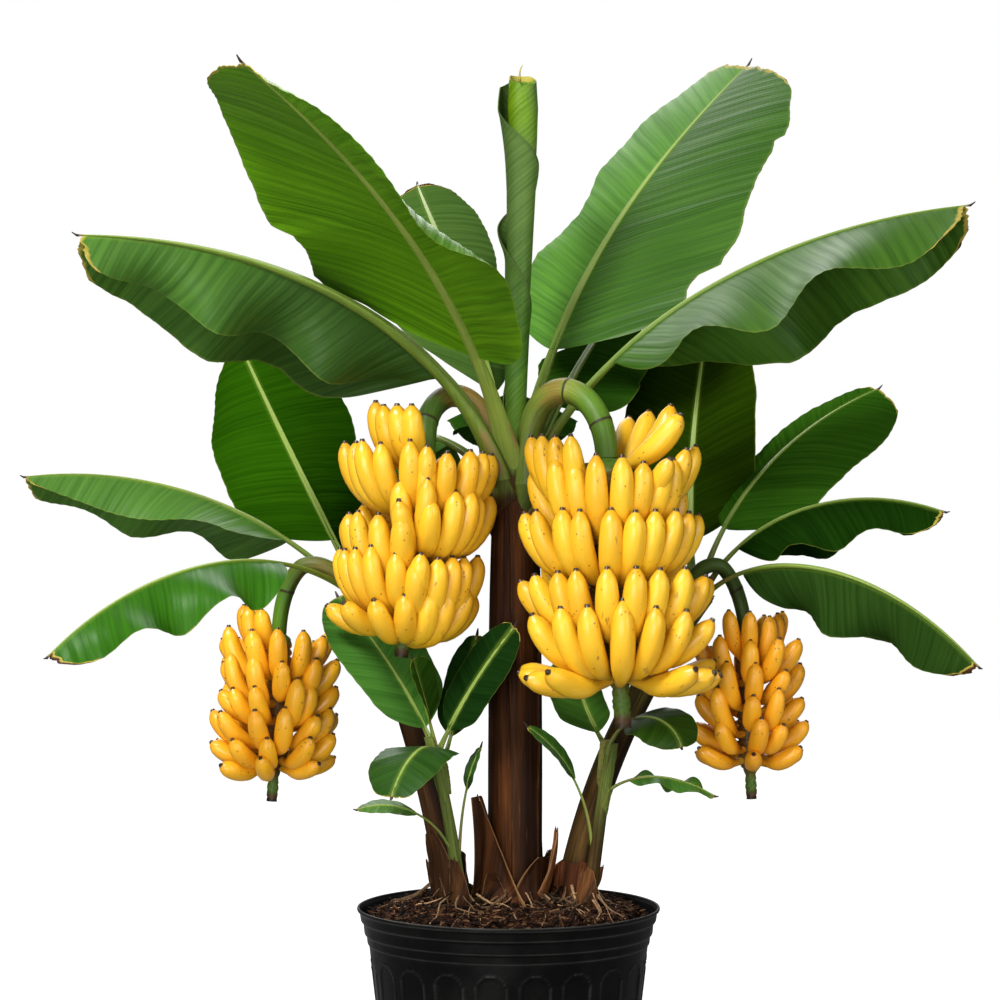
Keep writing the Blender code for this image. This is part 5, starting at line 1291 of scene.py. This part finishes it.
def build_spear(finish):
    """Rolled new leaf: one sheet wound round itself, its outer margin winding down the roll."""
    root = stem_place("main", 1.0)[0] + (0, 0, GAP)
    sheet = slab(110, 200)
    w, u = (sheet.v + 1) / 2, sheet.u
    cut = 0.004 * grain((w * 9, 0, 0), 1.0, 2) - 0.028 * ease(0.80, 1.0, w)
    t = u * (1 + cut * ease(0.9, 1.0, u) + 0.018 * ease(0.9, 1.0, u) * np.sin(w * 9))
    t = np.clip(t, 0, 1.012)
    height = root[2] + t * SPEAR_LENGTH
    turns = 1.38 + 0.10 * (1 - t)
    angle = np.radians(along(SPEAR_MARGIN, height)) - (1 - w) * turns * TAU
    flare = 0.011 * ease(0.86, 1.0, w) * bell(height, 1.44, 0.06) + 0.0012 * ease(0.93, 1.0, w)
    loose = ease(1.50, 1.62, height)
    radius = along(SPEAR_RADII, np.clip(t, 0, 1)) * (0.80 - 0.16 * loose + (0.17 + 0.17 * loose) * w) + flare
    radius = radius * (1 + 0.015 * grain((np.cos(angle) * 2, np.sin(angle) * 2, height * 9), 1.0, 4))
    place = frames(root, SPEAR_LENGTH, (80, 80), (90, 88.5), 1.0, t)[0]
    place[:, 0] += loose * (0.0045 - 0.0095 * w) + 0.009 * ease(1.10, 1.60, height)
    points = place + outward(angle) * (radius + HUSK * sheet.side)[:, None]
    dry = 0.75 * ease(0.985, 1.0, t) + 0.6 * ease(0.985, 1.0, w) * ease(0.9, 1.0, t)
    foot, upper, base, lime = (np.array(c) for c in (
        (0.027, 0.074, 0.006), (0.034, 0.036, 0.014), (0.055, 0.090, 0.010), (0.034, 0.070, -0.018)))
    tint = foot + ease(1.22, 1.50, height)[:, None] * upper + (1 - ease(1.13, 1.24, height))[:, None] * base
    # Painted light and shade: the roll is lighter on its right side (+X) and darker on its left
    tint = tint * (1.35 + 0.50 * np.cos(angle))[:, None]
    tint = tint + ((1 - ease(0.45, 0.62, w)) * loose)[:, None] * lime
    heap = Heap()
    heap.add(sheet, points, rows_of(angle * 0.024, 0, t * SPEAR_LENGTH), (w, 0, dry), tint)
    curl = unit_rod(8, np.linspace(0, 1, 14))
    tip = root + (0.007, -0.020, SPEAR_LENGTH * 0.985)
    limb = dict(root=tip, length=0.026, head=(20, 200), rise=(88, 120), bow=1.0)
    points, straight = bend(curl, limb, 0.0022 * (1 - 0.7 * curl.share))
    heap.add(curl, points, straight, (0, 0, 0.55 + 0.4 * curl.share), (0.16, 0.14, 0.02))
    heap.make("rolled_leaf", [finish], "new_leaf", ["leaf_rolled"], 50)


def spun(profile, steps):
    """Closed shell spun round the upright axis from a profile of (radius, height)."""
    bm = bmesh.new()
    verts = [bm.verts.new((r, 0.0, z)) for r, z in profile]
    edges = [bm.edges.new(pair) for pair in zip(verts, verts[1:])]
    bmesh.ops.spin(bm, geom=verts + edges, cent=(0, 0, 0), axis=(0, 0, 1), angle=TAU, steps=steps,
                   use_merge=True)
    bmesh.ops.remove_doubles(bm, verts=bm.verts, dist=1e-6)
    bmesh.ops.recalc_face_normals(bm, faces=bm.faces)
    return Shape(bm)


def softened(profile, rounds, keep):
    """Points between the ends of a profile after its corners are cut again and again."""
    points = np.array(profile, float)
    for _ in range(rounds):
        a, b = points[:-1], points[1:]
        cut = np.minimum(0.25, keep / np.maximum(np.linalg.norm(b - a, axis=1), 1e-9))[:, None]
        pairs = np.stack([a + (b - a) * cut, b - (b - a) * cut], 1).reshape(-1, 2)
        points = np.vstack([points[:1], pairs, points[-1:]])
    return [tuple(point) for point in points[1:-1]]


def build_pot(finish):
    """Nursery pot with its rolled rim, two bands and a row of arched panels pressed into the wall."""
    (foot, low), (shoulder, high) = POT_FOOT, POT_SHOULDER
    wall = [(foot + (shoulder - foot) * k / WALL_ROWS, low + (high - low) * k / WALL_ROWS)
            for k in range(1, WALL_ROWS)]
    outside = softened([(0, 0), (.1720, 0), POT_FOOT], 2, 0.0012)
    rim = softened([POT_SHOULDER, *POT_RIM, POT_INSIDE[0]], 3, 0.0014)
    pot = spun([(0.0, 0.0), *outside, POT_FOOT, *wall, *rim, *POT_INSIDE], POT_COLUMNS)
    points = pot.points.copy()
    height = pot.points[:, 2]
    radius = np.hypot(points[:, 0], points[:, 1])
    theta = np.arctan2(points[:, 1], points[:, 0])
    on_wall = (radius > np.interp(height, [low, high], [foot, shoulder]) - 1e-4)
    on_wall &= (height > low) & (height < high)
    half_pitch = math.radians(PANEL_PITCH / 2)
    across = ((theta + math.radians(PANEL_TURN) + half_pitch) % (2 * half_pitch) - half_pitch) * radius
    top = PANEL_TOP - PANEL_HALF
    reach = np.where(height > top, np.hypot(across, height - top), np.abs(across))
    reach = np.maximum(reach, PANEL_HALF - (height - PANEL_FOOT))
    groove = bell(reach, 0.0232, 0.0009)
    inward = (0.0013 * (1 - ease(0.0205, 0.0222, reach)) - 0.0011 * groove) * on_wall
    warp = 0.0006 * grain((np.cos(theta) * 2, np.sin(theta) * 2, height * 6), 1.0, 5)
    factor = 1 - (inward + warp * ease(0.02, 0.06, height)) / np.maximum(radius, 0.05)
    points[:, :2] *= factor[:, None]
    # Painted highlights: a pale band at each edge of the rim's outside and along each panel's raised outline
    worn = sum(0.6 * bell(height, z, 0.0011) for z in POT_HIGHLIGHT_HEIGHTS)
    worn = worn * (radius > 0.212) + 0.25 * groove * on_wall
    heap = Heap()
    heap.add(pot, points, points, (worn, 0, 0), (0.02, 0.02, 0.02))
    heap.make("fluted_pot", [finish], "pot", ["pot"], 35)


def mound(x, y):
    """Height of the soil at each place."""
    far = np.hypot(x, y)
    rough = 0.0042 * grain((x, y, 0), 46.0, 3) + 0.0022 * grain((x, y, 0), 130.0, 8)
    return along(SOIL_PROFILE, far) + rough * along([(0, 1), (0.200, 1), (SOIL_REACH, 0.3)], far)


def tumbled(points, yaw, pitch, bank):
    """Points banked, pitched and then turned by these angles in radians."""
    cy, sy, cp, sp, cb, sb = (f(a) for a in (yaw, pitch, bank) for f in (math.cos, math.sin))
    spin = np.array([(cy, -sy, 0), (sy, cy, 0), (0, 0, 1)]) @ np.array([(cp, 0, sp), (0, 1, 0), (-sp, 0, cp)])
    return points @ (spin @ np.array([(1, 0, 0), (0, cb, -sb), (0, sb, cb)])).T


def add_chip(heap, chip, dice):
    """One chip of bark that lies on the soil."""
    far = LITTER_REACH * math.sqrt(dice.uniform(0.01, 1))
    way = dice.uniform(0, TAU)
    long, wide, thin = dice.uniform(0.004, 0.018), dice.uniform(0.0014, 0.0050), dice.uniform(0.0007, 0.0022)
    far = min(far, 0.218 - long)
    x, y = far * math.cos(way), far * math.sin(way)
    z = float(mound(np.array([x]), np.array([y]))[0])
    angles = dice.uniform(0, TAU), dice.normal(0, 0.30), dice.normal(0, 0.5)
    scaled = chip.points * (long, wide, thin)
    scaled = scaled * (1 + 0.25 * dice.uniform(-1, 1, (len(scaled), 1)))
    points = tumbled(scaled, *angles) + (x, y, z + dice.uniform(0.0, 0.0022))
    tint = np.array(BROWNS[dice.integers(len(BROWNS))]) * dice.uniform(0.40, 1.15)
    heap.add(chip, points, points, (0, 0, 0), tint)


def build_soil(finish, root_finish):
    """Bark mulch: an uneven mound, chips lying on it, twigs, and pale roots that run out from the stems."""
    rings = [(r, float(along(SOIL_PROFILE, r))) for r in np.linspace(0, SOIL_REACH, 74)]
    bed = spun(rings + [(0.2178, 0.3725), (0.2075, 0.344), (0.0, 0.344)], 240)
    points = bed.points.copy()
    points[:, 2] = np.where(points[:, 2] > 0.3745, mound(points[:, 0], points[:, 1]), points[:, 2])
    dice = np.random.default_rng(5)
    heap = Heap()
    heap.add(bed, points, points, (0, 0, 0), (0.014, 0.0065, 0.004))
    bm = bmesh.new()
    bmesh.ops.create_icosphere(bm, subdivisions=1, radius=1.0)
    chip = Shape(bm)
    for _ in range(CHIPS):
        add_chip(heap, chip, dice)
    for _ in range(TWIGS):
        add_strand(heap, dice, (0.0, 0.0), 0.20, (0.07, 0.20), (0.0009, 0.0018), (0.045, 0.022, 0.011), 0)
    for stem, count in ROOTS.items():
        near = STEMS[stem]["radii"][0][1] * 0.9
        for _ in range(count):
            pale = dice.uniform(0.15, 1.25) ** 2.4
            add_strand(heap, dice, STEMS[stem]["foot"], near, (0.06, 0.19), (0.0006, 0.0023),
                       np.array((0.36, 0.22, 0.115)) * pale, 1)
    heap.make("mulch", [finish, root_finish], "soil", ["soil"], 35)


def add_strand(heap, dice, foot, near, lengths, thick, tint, slot):
    """A root that leaves the foot of a stem and lies over the mulch, or a twig that lies anywhere."""
    steps = np.linspace(0, 1, 13)
    rod = unit_rod(5, steps)
    way = dice.uniform(0, TAU)
    length = dice.uniform(*lengths)
    bent = dice.normal(0, 0.9)
    heading = way + bent * steps + 0.5 * np.sin(steps * dice.uniform(3, 9) + dice.uniform(0, 6))
    if slot == 0:
        heading = heading + dice.uniform(0, TAU)
        near = near * math.sqrt(dice.uniform(0.05, 0.8))
    x = foot[0] + near * math.cos(way) + np.cumsum(np.cos(heading)) * length / 13
    y = foot[1] + near * math.sin(way) + np.cumsum(np.sin(heading)) * length / 13
    x, y = (a * np.minimum(1, LITTER_REACH / np.hypot(x, y)) for a in (x, y))
    rise = dice.uniform(0.006, 0.026) * np.exp(-steps * 5) if slot else 0.002
    z = mound(x, y) + 0.0016 + rise + 0.0018 * np.sin(steps * 11 + dice.uniform(0, 6)) * (steps > 0.1)
    place = rows_of(x, y, z)
    ahead = np.gradient(place, axis=0)
    ahead /= np.linalg.norm(ahead, axis=1)[:, None]
    side = np.cross(ahead, (0, 0, 1.0))
    side /= np.linalg.norm(side, axis=1)[:, None]
    wide = dice.uniform(*thick) * (1 - 0.6 * rod.share)
    x, z = wide * np.cos(rod.turn), wide * np.sin(rod.turn)
    points = wrapped(rod, place, side, np.cross(side, ahead), x, z)
    heap.add(rod, points, points, (0, 0, 0), tint, slot)


def build_plant():
    """Leaves, new leaf, stems, bunches and fruit stalks."""
    rib = rib_finish("leaf stalk and rib")
    glossy = [blade_finish("blade upper side", False, 0.09), blade_finish("blade underside", True, 0.06), rib]
    dull = [blade_finish("older blade upper side", False, 0.0),
            blade_finish("older blade underside", True, 0.0), rib]
    for number, (name, size) in enumerate(LEAVES.items()):
        build_leaf(name, size, 31.7 * number + 2.5, dull if name in DULL else glossy)
    build_spear(spear_finish("rolled leaf"))
    bark = bark_finish("dry sheaths")
    for name, (colour, green) in STEM_LOOKS.items():
        build_stem(name, bark, green, colour)
    skin, wood = fruit_finish("banana skin"), stalk_finish("fruit stalk")
    for name in BUNCHES:
        build_bunch(name, skin, wood)
    for name in STALKS:
        build_stalk(name, wood)


def build_floor():
    """White floor that loses its shadows a little way from the pot."""
    bm = bmesh.new()
    bmesh.ops.create_circle(bm, cap_ends=True, segments=96, radius=9.0)
    mesh = bpy.data.meshes.new("floor")
    bm.to_mesh(mesh)
    bm.free()
    floor = bpy.data.objects.new("floor", mesh)
    bpy.context.scene.collection.objects.link(floor)
    f = Finish("white floor", 0.9, 0.1)
    far = f.put("VectorMath", {0: f.put("TexCoord", {}, out=3)}, out=1, operation="LENGTH")
    f.shader.inputs["Base Color"].default_value = (0.22, 0.22, 0.22, 1.0)
    f.shader.inputs["Emission Color"].default_value = (1.0, 1.0, 1.0, 1.0)
    glow = f.times(f.put("LightPath", {}), f.step(far, 0.30, 1.6, 0.62, 1.0))
    f.tree.links.new(glow, f.shader.inputs["Emission Strength"])
    mesh.materials.append(f.material)


def build_light(name, place, size, power, shine):
    """Soft square light that looks at the middle of the plant."""
    lamp = bpy.data.lights.new(name, "AREA")
    lamp.energy = power
    lamp.size = size
    lamp.specular_factor = shine
    ob = bpy.data.objects.new(name, lamp)
    ob.location = place
    ob.rotation_euler = (Vector((0, 0, 1.0)) - Vector(place)).to_track_quat("-Z", "Y").to_euler()
    ob.visible_camera = False
    bpy.context.scene.collection.objects.link(ob)


def build_world():
    """White behind the plant, and a faint cool light from all round."""
    world = bpy.data.worlds.new("studio")
    world.use_nodes = True
    bpy.context.scene.world = world
    nodes, links = world.node_tree.nodes, world.node_tree.links
    seen = nodes.new("ShaderNodeBackground")
    seen.inputs["Color"].default_value = (1, 1, 1, 1)
    seen.inputs["Strength"].default_value = 1.0
    soft = nodes["Background"]
    soft.inputs["Color"].default_value = (0.93, 0.97, 1.0, 1)
    soft.inputs["Strength"].default_value = 0.16
    path = nodes.new("ShaderNodeLightPath")
    mix = nodes.new("ShaderNodeMixShader")
    links.new(path.outputs["Is Camera Ray"], mix.inputs[0])
    links.new(soft.outputs[0], mix.inputs[1])
    links.new(seen.outputs[0], mix.inputs[2])
    links.new(mix.outputs[0], nodes["World Output"].inputs["Surface"])


def build_camera():
    """Level camera in front of the plant, as far off as the photograph's."""
    lens = bpy.data.cameras.new("front view")
    lens.lens = 100.0
    lens.sensor_width = 36.0
    lens.clip_end = 60.0
    camera = bpy.data.objects.new("front view", lens)
    camera.location = (-0.013, -4.237, 1.0185)
    camera.rotation_euler = (math.pi / 2, 0.0, 0.0)
    bpy.context.scene.collection.objects.link(camera)
    bpy.context.scene.camera = camera


build_plant()
build_pot(pot_finish("moulded plastic"))
build_soil(crumb_finish("bark mulch", (1.5, 1.4, 1.3)), crumb_finish("roots", (1.2, 1.2, 1.2)))
build_floor()
build_light("key", (-2.0, -3.0, 4.0), 1.5, 290, 0.38)
build_light("fill", (2.8, -3.0, 1.7), 2.4, 66, 0.15)
build_light("back", (-0.6, 3.2, 3.4), 3.0, 105, 0.0)
build_light("low", (-0.8, -3.2, 0.35), 2.0, 88, 0.03)
build_world()
build_camera()
bpy.context.scene.view_settings.view_transform = "Standard"
bpy.context.scene.view_settings.look = "None"
